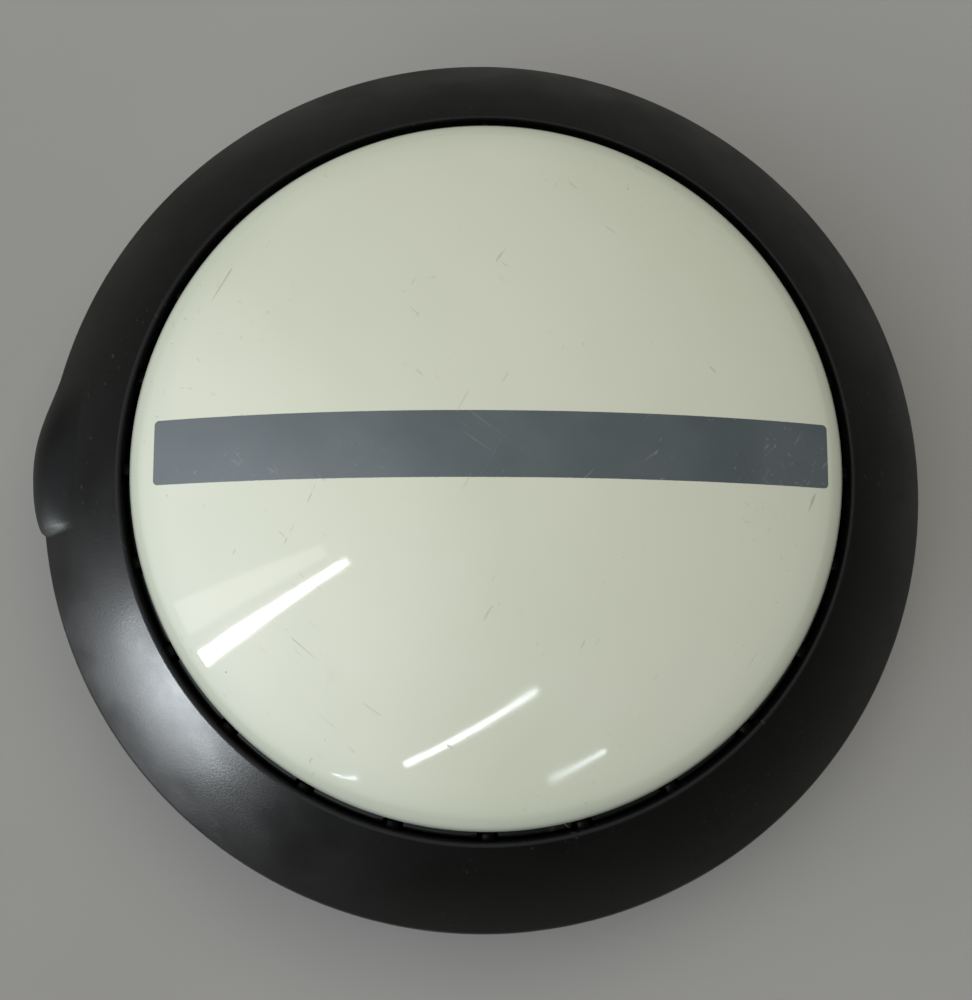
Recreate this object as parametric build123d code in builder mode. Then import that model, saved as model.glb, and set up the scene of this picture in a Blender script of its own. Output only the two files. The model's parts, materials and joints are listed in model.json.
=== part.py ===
from build123d import *

import os
from math import cos, radians, sin, sqrt

# A satellite-positioning receiver and its antenna under one round radome, screwed on a pole.
# Millimetres, +Z up. The origin is the centre of the seat, at the mouth of the pole thread.
# A black conical skirt surrounds the radome, and the housing hangs below it, with two battery
# doors on the X sides, the keys on the -Y side and the sockets on the +Y side.

# Overall sizes
DOME_RADIUS = 91.0
DOME_RISE = 27.0
SKIRT_WIDTH = 27.0
SKIRT_DROP = 28.8
HOUSING_TOP = 60.0
SKIRT_RISE = 22.0

# Clearances
GAP = 2.5
FIT = 0.05
LOOSE = 0.2
MOVING = 0.4

# Radome
CROWN_RADIUS = 207.0
SHOULDER = 9.0
DOME_WALL = 2.6
LEDGE_REACH = 2.0
LEDGE_THICK = 2.0
LEDGE_DROP = 6.0
BOSS_SPREAD = 3.2

# Skirt
SKIRT_WALL = 2.8
SKIRT_BULGE = 1.0
LIP_WALL = 2.5
LIP_ROUND = 1.6
EDGE_LAND = 1.2
FOOT_THICK = 3.0
FOOT_INSET = 10.5
RIB_COUNT = 24
RIB_WIDTH = 3.0
RIB_DROP = 3.0
GUSSET_COUNT = 12
GUSSET_THICK = 2.0
HUMP_AZIMUTH = 174.5
HUMP_PROUD = 3.8
HUMP_SPREAD = 43.1
HUMP_HEIGHT = 17.9
HUMP_SINK = 2.0
TAB_RISE = 1.0

# Housing
HOUSING_INSET = 9.0
HOUSING_WALL = 3.0
FLOOR_THICK = 3.0
FLANGE_REACH = 10.0
FLANGE_THICK = 3.0
SEAT_RADIUS = 38.0
SEAT_HEIGHT = 6.0
BOTTOM_ROUND = 3.0
DOOR_FLAT_DEPTH = 10.0
PANEL_FLAT_DEPTH = 8.0
GROOVE_WIDTH = 2.0
GROOVE_DEPTH = 1.2
SEAL_THICK = 1.0

# Pole insert
THREAD_RADIUS = 6.8
THREAD_DEPTH = 18.0
INSERT_RADIUS = 12.0
INSERT_HEIGHT = 22.0
COLLAR_RADIUS = 20.0
COLLAR_THICK = 3.0
INSERT_SCREW_CIRCLE = 16.0

# Screws
SCREW_RADIUS = 1.5
SCREW_HEAD_RADIUS = 2.8
SCREW_HEAD_THICK = 2.0
SMALL_SCREW_RADIUS = 1.2
SMALL_HEAD_RADIUS = 2.2
SMALL_HEAD_THICK = 1.2
SMALL_SCREW_LENGTH = 5.0
HOUSING_SCREW_COUNT = 8
HOUSING_SCREW_START = 22.5
HOUSING_SCREW_GRIP = 9.0
CHASSIS_SCREW_GRIP = 8.0
DIAGONAL = 45.0

# Battery packs, bays and doors
PACK_WIDTH = 60.0
PACK_THICK = 20.0
PACK_LENGTH = 41.0
PACK_CLEAR = 1.0
PACK_CORNER = 3.0
BAY_WALL = 2.0
BAY_LIFT = 3.0
DOOR_MARGIN = 3.0
DOOR_THICK = 3.0
DOOR_STANDOFF = 0.8
DOOR_CORNER = 3.0
DOOR_TAB_WIDTH = 18.0
DOOR_GROOVE_LENGTH = 43.2
DOOR_GROOVE_WIDTH = 1.5
DOOR_GROOVE_DEPTH = 0.75
DOOR_GROOVE_PITCH = 4.5
DOOR_SEAL_WIDTH = 1.8
DOOR_SEAL_THICK = 0.4
HINGE_OUT = 3.0
HINGE_RISE = 3.5
KNUCKLE_RADIUS = 2.5
KNUCKLE_LENGTH = 40.0
LUG_LENGTH = 5.0
HINGE_PIN_RADIUS = 1.0
CONTACT_COUNT = 3
CONTACT_PITCH = 10.0
CONTACT_WIDTH = 2.0
CONTACT_HEIGHT = 10.0

# Key panel and socket panel
PANEL_THICK = 2.5
PANEL_LIFT = 29.0
KEY_PANEL_WIDTH = 60.0
KEY_PANEL_HEIGHT = 28.0
SOCKET_PANEL_WIDTH = 68.0
SOCKET_PANEL_HEIGHT = 30.0
PANEL_LAND = 4.0
PANEL_SCREW_INSET = 2.5
PANEL_HOLE_CORNER = 2.0
KEY_PLACE = 14.0
KEY_RADIUS = 5.0
KEY_PROUD = 0.9
KEY_FLANGE = 1.2
KEY_TRAVEL = 0.8
KEY_POST_INSET = (9.0, 7.5)
KEY_BOARD_INSET = (7.0, 5.5)
LIGHT_COUNT = 4
LIGHT_PITCH = 3.2
LIGHT_RADIUS = 1.1
SOCKET_PLACES = (-18.5, 4.5)
AERIAL_PLACE = 22.9
SOCKET_RADIUS = 8.0
SOCKET_BORE = 6.5
SOCKET_LENGTH = 8.0
SOCKET_RECESS = 5.0
SOCKET_FLANGE_RADIUS = 10.0
SOCKET_FLANGE_THICK = 2.0
SOCKET_TAIL = 8.0
SOCKET_NUT_RADIUS = 11.2
SOCKET_CONTACTS = 6
SOCKET_CONTACT_CIRCLE = 3.8
SOCKET_CONTACT_RADIUS = 0.6
SOCKET_CONTACT_TAIL = 2.0
CAP_RADIUS = 9.2
CAP_THICK = 2.5
CAP_ARM_WIDTH = 6.0
CAP_HINGE_RISE = 12.0
CAP_HINGE_SINK = 0.5
CAP_KNUCKLE_RADIUS = 2.0
CAP_LUG_LENGTH = 3.0
CAP_LUG_SIZE = 4.4
CAP_PIN_RADIUS = 0.8
AERIAL_THREAD_RADIUS = 5.5
AERIAL_BORE = 4.2
AERIAL_LENGTH = 11.0
AERIAL_TAIL = 6.0
AERIAL_CORE_RADIUS = 2.4
AERIAL_CORE_SINK = 1.0
AERIAL_NUT_RADIUS = 6.9

# Chassis, boards and antenna
PLATE_THICK = 2.5
PLATE_DROP = 1.5
PLATE_EDGE = 1.5
CHASSIS_BOSS_CIRCLE = 72.0
CHASSIS_BOSS_RADIUS = 4.0
BOARD_SIZE = 88.0
BOARD_THICK = 1.6
BOARD_DROP = 12.0
BOARD_POST_RADIUS = 3.5
BOARD_POST_INSET = 4.0
MODULE_CORNER = 1.0
MODULE_EDGE = 0.5
SHIELD_WIDTH = 50.0
SHIELD_DEPTH = 34.0
SHIELD_HEIGHT = 7.0
STANDOFF_CIRCLE = 66.0
STANDOFF_COUNT = 6
STANDOFF_START = 15.0
STANDOFF_HEIGHT = 11.9
STANDOFF_RADIUS = 3.4
ANTENNA_EDGE = 11.0
ANTENNA_BOARD_EDGE = 4.0
GROUND_THICK = 1.2
LOWER_PATCH_RADIUS = 50.0
LOWER_PATCH_THICK = 8.0
UPPER_PATCH_RADIUS = 34.0
UPPER_PATCH_THICK = 7.0
ELEMENT_EDGE = 6.0
ELEMENT_THICK = 0.4
FEED_CIRCLE = 14.0
FEED_RADIUS = 0.7
LINK_PLACE = (-20.0, 30.0)
LINK_RADIUS = 2.4
LEAD_RADIUS = 0.9
LEAD_DROP = 6.8
PLUG_WIDTH = 4.0
PLUG_LENGTH = 5.0
SHELF_DROP = 5.7
SHELF_DEPTH = 8.0
SHELF_WIDTH = 24.0
SHELF_THICK = 1.4
GROMMET_RADIUS = 2.6
VENT_PLACE = (0.0, -52.0)
VENT_RADIUS = 4.0
VENT_HEAD_RADIUS = 6.5
VENT_THICK = 3.0

# Sizes and places that follow from those above
LIP_RADIUS = DOME_RADIUS + GAP
LIP_TOP = HOUSING_TOP + SKIRT_RISE
APEX = LIP_TOP + DOME_RISE
EDGE_RADIUS = LIP_RADIUS + SKIRT_WIDTH
EDGE_TOP = LIP_TOP - SKIRT_DROP
EDGE_LOW = EDGE_TOP - EDGE_LAND
WALL_RADIUS = LIP_RADIUS + LIP_WALL
FOOT_TOP = HOUSING_TOP + FOOT_THICK
FOOT_RADIUS = DOME_RADIUS - FOOT_INSET
DOME_LOW = FOOT_TOP + SEAL_THICK
DOME_INNER = DOME_RADIUS - DOME_WALL
LEDGE_TOP = LIP_TOP - LEDGE_DROP
SCREW_CIRCLE = DOME_INNER - BOSS_SPREAD
HOUSING_RADIUS = DOME_RADIUS - HOUSING_INSET
FLANGE_RADIUS = HOUSING_RADIUS + FLANGE_REACH
FLOOR_TOP = SEAT_HEIGHT + FLOOR_THICK
DOOR_FLAT = HOUSING_RADIUS - DOOR_FLAT_DEPTH
PANEL_FLAT = HOUSING_RADIUS - PANEL_FLAT_DEPTH
CAVITY_RADIUS = HOUSING_RADIUS - HOUSING_WALL
SLOPE = SKIRT_DROP / (SKIRT_WIDTH - LIP_ROUND)
FLAT_SLANT = sqrt(1 + SLOPE * SLOPE)
HUMP_CENTRE = EDGE_RADIUS + HUMP_PROUD - HUMP_SPREAD
BAY_WIDTH = PACK_WIDTH + 2 * PACK_CLEAR + 2 * BAY_WALL
BAY_HEIGHT = PACK_THICK + 2 * PACK_CLEAR + 2 * BAY_WALL
BAY_DEPTH = PACK_LENGTH + 1.5 * PACK_CLEAR + BAY_WALL
BAY_MIDDLE = FLOOR_TOP + BAY_LIFT + BAY_HEIGHT / 2
DOOR_WIDTH = BAY_WIDTH + 2 * DOOR_MARGIN
DOOR_HEIGHT = BAY_HEIGHT + 2 * DOOR_MARGIN
DOOR_HINGE = BAY_MIDDLE + DOOR_HEIGHT / 2 + HINGE_RISE
PLATE_LOW = HOUSING_TOP - PLATE_DROP - PLATE_THICK
PLATE_TOP = PLATE_LOW + PLATE_THICK
BOARD_LOW = PLATE_LOW - BOARD_DROP
BOARD_TOP = BOARD_LOW + BOARD_THICK
BOARD_POST = BOARD_SIZE / 2 - BOARD_POST_INSET
ANTENNA_LOW = PLATE_TOP + STANDOFF_HEIGHT
GROUND_LOW = ANTENNA_LOW + BOARD_THICK
GROUND_TOP = GROUND_LOW + GROUND_THICK
GROUND_RADIUS = DOME_RADIUS - ANTENNA_EDGE
LOWER_TOP = GROUND_TOP + LOWER_PATCH_THICK
UPPER_LOW = LOWER_TOP + ELEMENT_THICK
UPPER_TOP = UPPER_LOW + UPPER_PATCH_THICK
SOCKET_FACE = PANEL_THICK + SOCKET_LENGTH
CAP_LOW = SOCKET_FACE + MOVING
CAP_AXIS_OUT = SOCKET_FACE - CAP_HINGE_SINK
CAP_AXIS_HEIGHT = PANEL_LIFT + CAP_HINGE_RISE
SHELF_TOP = HOUSING_TOP - SHELF_DROP + SHELF_THICK
LEAD_HEIGHT = HOUSING_TOP - LEAD_DROP


def facing(azimuth, distance=0.0):
    """Give the upright plane that faces outwards at an azimuth; its local y is the height."""
    outward = (cos(radians(azimuth)), sin(radians(azimuth)), 0)
    along = (-outward[1], outward[0], 0)
    origin = (distance * outward[0], distance * outward[1], 0)
    return Plane(origin=origin, x_dir=along, z_dir=outward)


def across(plane, height, out, along=0.0):
    """Give the plane whose normal runs along a side, on a line at a height and a distance out."""
    origin = plane.from_local_coords((along, height, out))
    return Plane(origin=origin, x_dir=plane.z_dir, z_dir=plane.x_dir)


def bar(plane, radius, low, high, places=((0, 0),), mode=Mode.ADD):
    """Make round bars along a plane's normal, from low to high above the plane."""
    with BuildSketch(plane.offset(low)) as face:
        with Locations(*places):
            Circle(radius)
    extrude(face.sketch, amount=high - low, mode=mode)


def block(plane, width, height, low, high, places=((0, 0),), corner=0.0, mode=Mode.ADD):
    """Make blocks on a plane, from low to high above it, with rounded corners if asked."""
    with BuildSketch(plane.offset(low)) as face:
        with Locations(*places):
            if corner:
                RectangleRounded(width, height, corner)
            else:
                Rectangle(width, height)
    extrude(face.sketch, amount=high - low, mode=mode)


def hexagon(plane, radius, low, high, places=((0, 0),), mode=Mode.ADD):
    """Make hexagonal bars along a plane's normal, with their corners at a radius."""
    with BuildSketch(plane.offset(low)) as face:
        with Locations(*places):
            RegularPolygon(radius, 6)
    extrude(face.sketch, amount=high - low, mode=mode)


def turned(points, mode=Mode.ADD):
    """Turn a closed outline of (radius, height) points round the Z axis."""
    with BuildSketch(Plane.XZ) as outline:
        with BuildLine():
            Polyline(*points, close=True)
        make_face()
    revolve(outline.sketch, axis=Axis.Z, mode=mode)


def circle_places(radius, count, start=0.0):
    """Give places spread evenly round a circle."""
    turns = [radians(start + 360 * number / count) for number in range(count)]
    return [(radius * cos(turn), radius * sin(turn)) for turn in turns]


def corners(half_width, half_height, lift=0.0):
    """Give the four corners of a rectangle whose middle is at a height."""
    return [(x, lift + y) for x in (-half_width, half_width) for y in (-half_height, half_height)]


def dome_outline(radius, apex, crown, shoulder, low):
    """Draw half of a dome's section: a spherical crown, a round shoulder and an upright side."""
    side_top = apex - crown + sqrt(crown * crown - radius * radius)
    half = radius / 2
    half_top = apex - crown + sqrt(crown * crown - half * half)
    with BuildSketch(Plane.XZ) as outline:
        with BuildLine():
            ThreePointArc((0, apex), (half, half_top), (radius, side_top))
            Polyline((radius, side_top), (radius, low), (0, low), (0, apex))
        make_face()
        fillet(outline.vertices().group_by(Axis.X)[-1].sort_by(Axis.Y)[-1], shoulder)
    return outline.sketch


def cone_outline(inset, inner, bulge, low):
    """Draw the section under the skirt's cone, moved in square to its face by an inset."""
    drop = inset * FLAT_SLANT
    reach = inset * FLAT_SLANT / SLOPE
    top = LIP_TOP - drop - SLOPE * (inner - LIP_RADIUS - LIP_ROUND)
    edge = EDGE_RADIUS - reach
    middle = ((inner + edge) / 2 + bulge / FLAT_SLANT * SLOPE, (top + EDGE_TOP) / 2 + bulge / FLAT_SLANT)
    with BuildSketch(Plane.XZ) as outline:
        with BuildLine():
            ThreePointArc((inner, top), middle, (edge, EDGE_TOP))
            Polyline((edge, EDGE_TOP), (edge, low), (inner, low), (inner, top))
        make_face()
    return outline.sketch


def hump_swell(inset):
    """Turn the hump's half ellipse round its own upright axis, moved in by an inset."""
    axis_place = facing(HUMP_AZIMUTH, HUMP_CENTRE).origin
    middle = EDGE_LOW - HUMP_SINK
    spread = HUMP_SPREAD - inset
    height = HUMP_HEIGHT - inset
    with BuildSketch(Plane(origin=axis_place, x_dir=(1, 0, 0), z_dir=(0, -1, 0))) as outline:
        with BuildLine():
            EllipticalCenterArc((0, middle), spread, height, start_angle=0, arc_size=90)
            Polyline((0, middle + height), (0, middle), (spread, middle))
        make_face()
    revolve(outline.sketch, axis=Axis(axis_place, (0, 0, 1)))
    bar(Plane.XY, WALL_RADIUS, 0, APEX, mode=Mode.SUBTRACT)
    bar(Plane.XY, 2 * EDGE_RADIUS, 0, EDGE_LOW, mode=Mode.SUBTRACT)


def save(node, name):
    """Label a finished piece and write it."""
    node.part.label = name
    export_step(node.part, f"parts/{name}.step")


os.makedirs("parts", exist_ok=True)

KEY_SIDE = facing(270, PANEL_FLAT)
SOCKET_SIDE = facing(90, PANEL_FLAT)
DOOR_SIDES = {"left": facing(180, DOOR_FLAT), "right": facing(0, DOOR_FLAT)}
HUMP_SIDE = facing(HUMP_AZIMUTH)
HOUSING_SCREW_PLACES = circle_places(SCREW_CIRCLE, HOUSING_SCREW_COUNT, HOUSING_SCREW_START)
CHASSIS_SCREW_PLACES = circle_places(CHASSIS_BOSS_CIRCLE, 4, DIAGONAL)
STANDOFF_PLACES = circle_places(STANDOFF_CIRCLE, STANDOFF_COUNT, STANDOFF_START)
FEED_PLACES = circle_places(FEED_CIRCLE, 4, DIAGONAL)
INSERT_SCREW_PLACES = circle_places(INSERT_SCREW_CIRCLE, 4, DIAGONAL)
BOARD_POST_PLACES = corners(BOARD_POST, BOARD_POST)
KEY_SCREW_PLACES = corners(
    KEY_PANEL_WIDTH / 2 - PANEL_SCREW_INSET, KEY_PANEL_HEIGHT / 2 - PANEL_SCREW_INSET, PANEL_LIFT
)
SOCKET_SCREW_PLACES = corners(
    SOCKET_PANEL_WIDTH / 2 - PANEL_SCREW_INSET, SOCKET_PANEL_HEIGHT / 2 - PANEL_SCREW_INSET, PANEL_LIFT
)

# Radome: a thin shell with a ledge round its side, notched for the skirt's ribs
with BuildPart() as radome:
    revolve(dome_outline(DOME_RADIUS, APEX, CROWN_RADIUS, SHOULDER, DOME_LOW), axis=Axis.Z)
    turned([
        (DOME_INNER, LEDGE_TOP),
        (DOME_RADIUS + LEDGE_REACH, LEDGE_TOP),
        (DOME_RADIUS + LEDGE_REACH, LEDGE_TOP - LEDGE_THICK),
        (DOME_INNER, LEDGE_TOP - LEDGE_THICK),
    ])
    inner_crown = CROWN_RADIUS - DOME_WALL
    inner_shoulder = SHOULDER - DOME_WALL
    hollow = dome_outline(DOME_INNER, APEX - DOME_WALL, inner_crown, inner_shoulder, DOME_LOW)
    revolve(hollow, axis=Axis.Z, mode=Mode.SUBTRACT)
    for azimuth in range(0, 360, 360 // RIB_COUNT):
        notch_low = DOME_RADIUS + MOVING / 2
        block(
            facing(azimuth), RIB_WIDTH + 4 * MOVING, 2 * LEDGE_THICK, notch_low, LIP_RADIUS,
            places=[(0, LEDGE_TOP - LEDGE_THICK / 2)], mode=Mode.SUBTRACT,
        )
    boss_top = DOME_LOW + HOUSING_SCREW_GRIP + SCREW_RADIUS
    bar(Plane.XY, BOSS_SPREAD, DOME_LOW, boss_top, places=HOUSING_SCREW_PLACES)
    boss_height = boss_top - DOME_LOW
    for number in range(HOUSING_SCREW_COUNT):
        boss_side = facing(HOUSING_SCREW_START + 360 * number / HOUSING_SCREW_COUNT)
        block(
            boss_side, BOSS_SPREAD, boss_height, SCREW_CIRCLE, DOME_INNER + DOME_WALL / 2,
            places=[(0, DOME_LOW + boss_height / 2)],
        )
    bar(
        Plane.XY, SCREW_RADIUS + FIT, DOME_LOW, DOME_LOW + HOUSING_SCREW_GRIP,
        places=HOUSING_SCREW_PLACES, mode=Mode.SUBTRACT,
    )
save(radome, "radome")

# The hollow under the skirt's cone, and the hump's outer and inner swell
with BuildPart() as channel:
    revolve(cone_outline(SKIRT_WALL, WALL_RADIUS, SKIRT_BULGE, EDGE_LOW), axis=Axis.Z)
with BuildPart() as hump_outside:
    hump_swell(0)
with BuildPart() as hump_inside:
    hump_swell(SKIRT_WALL)
with BuildPart() as gussets:
    for number in range(GUSSET_COUNT):
        gusset_side = facing(HUMP_AZIMUTH + 360 * (number + 0.5) / GUSSET_COUNT)
        block(
            gusset_side, GUSSET_THICK, LIP_TOP - HOUSING_TOP, WALL_RADIUS - LIP_WALL / 2, EDGE_RADIUS,
            places=[(0, (LIP_TOP + HOUSING_TOP) / 2)],
        )
    revolve(
        cone_outline(SKIRT_WALL / 2, WALL_RADIUS - LIP_WALL / 2, SKIRT_BULGE, EDGE_LOW),
        axis=Axis.Z, mode=Mode.INTERSECT,
    )

# Skirt: conical ring with a round lip, a hump on its edge, ribs inside its lip and a foot
with BuildPart() as skirt_ring:
    revolve(cone_outline(0, LIP_RADIUS + LIP_ROUND, SKIRT_BULGE, EDGE_LOW), axis=Axis.Z)
    bar(Plane.XY, LIP_RADIUS + LIP_ROUND, EDGE_LOW, LIP_TOP - LIP_ROUND)
    with BuildSketch(Plane.XZ) as lip:
        with Locations((LIP_RADIUS + LIP_ROUND, LIP_TOP - LIP_ROUND)):
            Circle(LIP_ROUND)
    revolve(axis=Axis.Z)
    add(hump_outside.part)
    bar(Plane.XY, LIP_RADIUS, EDGE_LOW, APEX, mode=Mode.SUBTRACT)
    add(channel.part, mode=Mode.SUBTRACT)
    add(hump_inside.part, mode=Mode.SUBTRACT)
    bar(Plane.XY, WALL_RADIUS, EDGE_LOW, HOUSING_TOP, mode=Mode.SUBTRACT)
    turned([
        (FOOT_RADIUS, HOUSING_TOP),
        (WALL_RADIUS, HOUSING_TOP),
        (WALL_RADIUS, FOOT_TOP),
        (FOOT_RADIUS, FOOT_TOP),
    ])
    add(gussets.part)
    rib_height = LIP_TOP - RIB_DROP - FOOT_TOP
    for azimuth in range(0, 360, 360 // RIB_COUNT):
        block(
            facing(azimuth), RIB_WIDTH, rib_height, DOME_RADIUS + MOVING, LIP_RADIUS + LIP_WALL / 2,
            places=[(0, FOOT_TOP + rib_height / 2)],
        )
    tab_low = SHELF_TOP - SHELF_THICK
    tab_high = HOUSING_TOP + TAB_RISE
    block(
        HUMP_SIDE, SHELF_WIDTH, tab_high - tab_low, WALL_RADIUS - LIP_WALL + LOOSE, WALL_RADIUS,
        places=[(0, (tab_low + tab_high) / 2)],
    )
    block(
        HUMP_SIDE, SHELF_WIDTH, SHELF_THICK, WALL_RADIUS - LIP_WALL / 2, WALL_RADIUS + SHELF_DEPTH,
        places=[(0, tab_low + SHELF_THICK / 2)],
    )
    bar(
        Plane.XY, SCREW_RADIUS + LOOSE, HOUSING_TOP, FOOT_TOP,
        places=HOUSING_SCREW_PLACES, mode=Mode.SUBTRACT,
    )
save(skirt_ring, "skirt_ring")

# Rubber ring under the radome's side
with BuildPart() as radome_seal:
    bar(Plane.XY, DOME_RADIUS + MOVING, FOOT_TOP, DOME_LOW)
    bar(Plane.XY, DOME_INNER - MOVING, FOOT_TOP, DOME_LOW, mode=Mode.SUBTRACT)
    bar(
        Plane.XY, BOSS_SPREAD + LOOSE, FOOT_TOP, DOME_LOW,
        places=HOUSING_SCREW_PLACES, mode=Mode.SUBTRACT,
    )
save(radome_seal, "radome_seal")

# The hollow inside the housing
with BuildPart() as cavity:
    block(
        Plane.XY, 2 * (DOOR_FLAT - HOUSING_WALL), 2 * (PANEL_FLAT - HOUSING_WALL),
        FLOOR_TOP, HOUSING_TOP,
    )
    bar(Plane.XY, CAVITY_RADIUS, FLOOR_TOP, HOUSING_TOP, mode=Mode.INTERSECT)

# Housing: a tub with four flats, a flange, a seat boss, posts, hinge lugs and openings
with BuildPart() as lower_housing:
    block(Plane.XY, 2 * DOOR_FLAT, 2 * PANEL_FLAT, SEAT_HEIGHT, HOUSING_TOP)
    bar(Plane.XY, HOUSING_RADIUS, SEAT_HEIGHT, HOUSING_TOP, mode=Mode.INTERSECT)
    fillet(lower_housing.faces().sort_by(Axis.Z)[0].edges(), BOTTOM_ROUND)
    bar(Plane.XY, FLANGE_RADIUS, HOUSING_TOP - FLANGE_THICK, HOUSING_TOP)
    bar(Plane.XY, SEAT_RADIUS, 0, SEAT_HEIGHT + BOTTOM_ROUND)
    add(cavity.part, mode=Mode.SUBTRACT)
    bar(Plane.XY, CHASSIS_BOSS_RADIUS, FLOOR_TOP, PLATE_LOW, places=CHASSIS_SCREW_PLACES)
    bar(Plane.XY, BOARD_POST_RADIUS, FLOOR_TOP, BOARD_LOW, places=BOARD_POST_PLACES)
    for side in DOOR_SIDES.values():
        block(
            side, BAY_WIDTH + 2 * FIT, BAY_HEIGHT + 2 * FIT, -2 * HOUSING_WALL, HOUSING_WALL,
            places=[(0, BAY_MIDDLE)], mode=Mode.SUBTRACT,
        )
        hinge = across(side, DOOR_HINGE, HINGE_OUT)
        lug_middle = KNUCKLE_LENGTH / 2 + MOVING + LUG_LENGTH / 2
        block(
            side, LUG_LENGTH, 2 * KNUCKLE_RADIUS, -HOUSING_WALL / 2, HINGE_OUT,
            places=[(-lug_middle, DOOR_HINGE), (lug_middle, DOOR_HINGE)],
        )
        for end in (-1, 1):
            first = end * (lug_middle - LUG_LENGTH / 2)
            bar(hinge, KNUCKLE_RADIUS, first, first + end * LUG_LENGTH)
        lug_end = lug_middle + LUG_LENGTH / 2
        bar(hinge, HINGE_PIN_RADIUS + FIT, -lug_end, lug_end, mode=Mode.SUBTRACT)
    block(
        KEY_SIDE, KEY_PANEL_WIDTH - 2.5 * PANEL_LAND, KEY_PANEL_HEIGHT - 2 * PANEL_LAND,
        -2 * HOUSING_WALL, HOUSING_WALL, places=[(0, PANEL_LIFT)],
        corner=PANEL_HOLE_CORNER, mode=Mode.SUBTRACT,
    )
    block(
        SOCKET_SIDE, SOCKET_PANEL_WIDTH - 2 * PANEL_LAND, SOCKET_PANEL_HEIGHT - 2 * PANEL_LAND,
        -2 * HOUSING_WALL, HOUSING_WALL, places=[(0, PANEL_LIFT)],
        corner=PANEL_HOLE_CORNER, mode=Mode.SUBTRACT,
    )
    tap_depth = SMALL_SCREW_LENGTH + LOOSE - PANEL_THICK
    bar(
        KEY_SIDE, SMALL_SCREW_RADIUS + FIT, -tap_depth, HOUSING_WALL,
        places=KEY_SCREW_PLACES, mode=Mode.SUBTRACT,
    )
    bar(
        SOCKET_SIDE, SMALL_SCREW_RADIUS + FIT, -tap_depth, HOUSING_WALL,
        places=SOCKET_SCREW_PLACES, mode=Mode.SUBTRACT,
    )
    bar(
        Plane.XY, SCREW_RADIUS + LOOSE, HOUSING_TOP - FLANGE_THICK, HOUSING_TOP,
        places=HOUSING_SCREW_PLACES, mode=Mode.SUBTRACT,
    )
    groove_outer = FLANGE_RADIUS - GROOVE_WIDTH / 2
    groove_low = HOUSING_TOP - GROOVE_DEPTH
    turned(
        [
            (groove_outer, HOUSING_TOP),
            (groove_outer, groove_low),
            (groove_outer - GROOVE_WIDTH, groove_low),
            (groove_outer - GROOVE_WIDTH, HOUSING_TOP),
        ],
        mode=Mode.SUBTRACT,
    )
    bar(Plane.XY, INSERT_RADIUS + FIT, 0, FLOOR_TOP, mode=Mode.SUBTRACT)
    bar(
        Plane.XY, SCREW_RADIUS + FIT, SEAT_HEIGHT / 2, FLOOR_TOP,
        places=INSERT_SCREW_PLACES, mode=Mode.SUBTRACT,
    )
    bar(Plane.XY, VENT_RADIUS + FIT, SEAT_HEIGHT, FLOOR_TOP, places=[VENT_PLACE], mode=Mode.SUBTRACT)
    screw_depth = PLATE_LOW - CHASSIS_SCREW_GRIP
    bar(
        Plane.XY, SCREW_RADIUS + FIT, screw_depth, PLATE_LOW,
        places=CHASSIS_SCREW_PLACES, mode=Mode.SUBTRACT,
    )
    bar(
        Plane.XY, SMALL_SCREW_RADIUS + FIT, BOARD_LOW - SMALL_SCREW_LENGTH, BOARD_LOW,
        places=BOARD_POST_PLACES, mode=Mode.SUBTRACT,
    )
    bar(
        HUMP_SIDE, GROMMET_RADIUS + FIT, DOOR_FLAT - 2 * HOUSING_WALL, DOOR_FLAT + HOUSING_WALL,
        places=[(0, LEAD_HEIGHT)], mode=Mode.SUBTRACT,
    )
save(lower_housing, "lower_housing")

# Rubber ring in the flange's groove
with BuildPart() as housing_seal:
    bar(Plane.XY, groove_outer - FIT, groove_low, HOUSING_TOP)
    bar(Plane.XY, groove_outer - GROOVE_WIDTH + FIT, groove_low, HOUSING_TOP, mode=Mode.SUBTRACT)
save(housing_seal, "housing_seal")

# Screws that clamp the housing, the skirt and the radome together from below
with BuildPart() as housing_screws:
    head_top = HOUSING_TOP - FLANGE_THICK
    bar(Plane.XY, SCREW_HEAD_RADIUS, head_top - SCREW_HEAD_THICK, head_top, places=HOUSING_SCREW_PLACES)
    bar(
        Plane.XY, SCREW_RADIUS, head_top, DOME_LOW + HOUSING_SCREW_GRIP - LOOSE,
        places=HOUSING_SCREW_PLACES,
    )
    hexagon(
        Plane.XY, SCREW_RADIUS, head_top - SCREW_HEAD_THICK, head_top - SCREW_HEAD_THICK / 2,
        places=HOUSING_SCREW_PLACES, mode=Mode.SUBTRACT,
    )
save(housing_screws, "housing_screws")

# Brass insert with the pole thread, and the screws that hold its collar to the floor
with BuildPart() as pole_insert:
    bar(Plane.XY, INSERT_RADIUS, 0, INSERT_HEIGHT)
    bar(Plane.XY, COLLAR_RADIUS, FLOOR_TOP, FLOOR_TOP + COLLAR_THICK)
    bar(Plane.XY, THREAD_RADIUS, 0, THREAD_DEPTH, mode=Mode.SUBTRACT)
    bar(
        Plane.XY, SCREW_RADIUS + LOOSE, FLOOR_TOP, FLOOR_TOP + COLLAR_THICK,
        places=INSERT_SCREW_PLACES, mode=Mode.SUBTRACT,
    )
save(pole_insert, "pole_insert")

with BuildPart() as insert_screws:
    collar_top = FLOOR_TOP + COLLAR_THICK
    bar(Plane.XY, SCREW_RADIUS, SEAT_HEIGHT / 2 + LOOSE, collar_top, places=INSERT_SCREW_PLACES)
    bar(
        Plane.XY, SCREW_HEAD_RADIUS, collar_top, collar_top + SCREW_HEAD_THICK,
        places=INSERT_SCREW_PLACES,
    )
save(insert_screws, "insert_screws")

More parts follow.
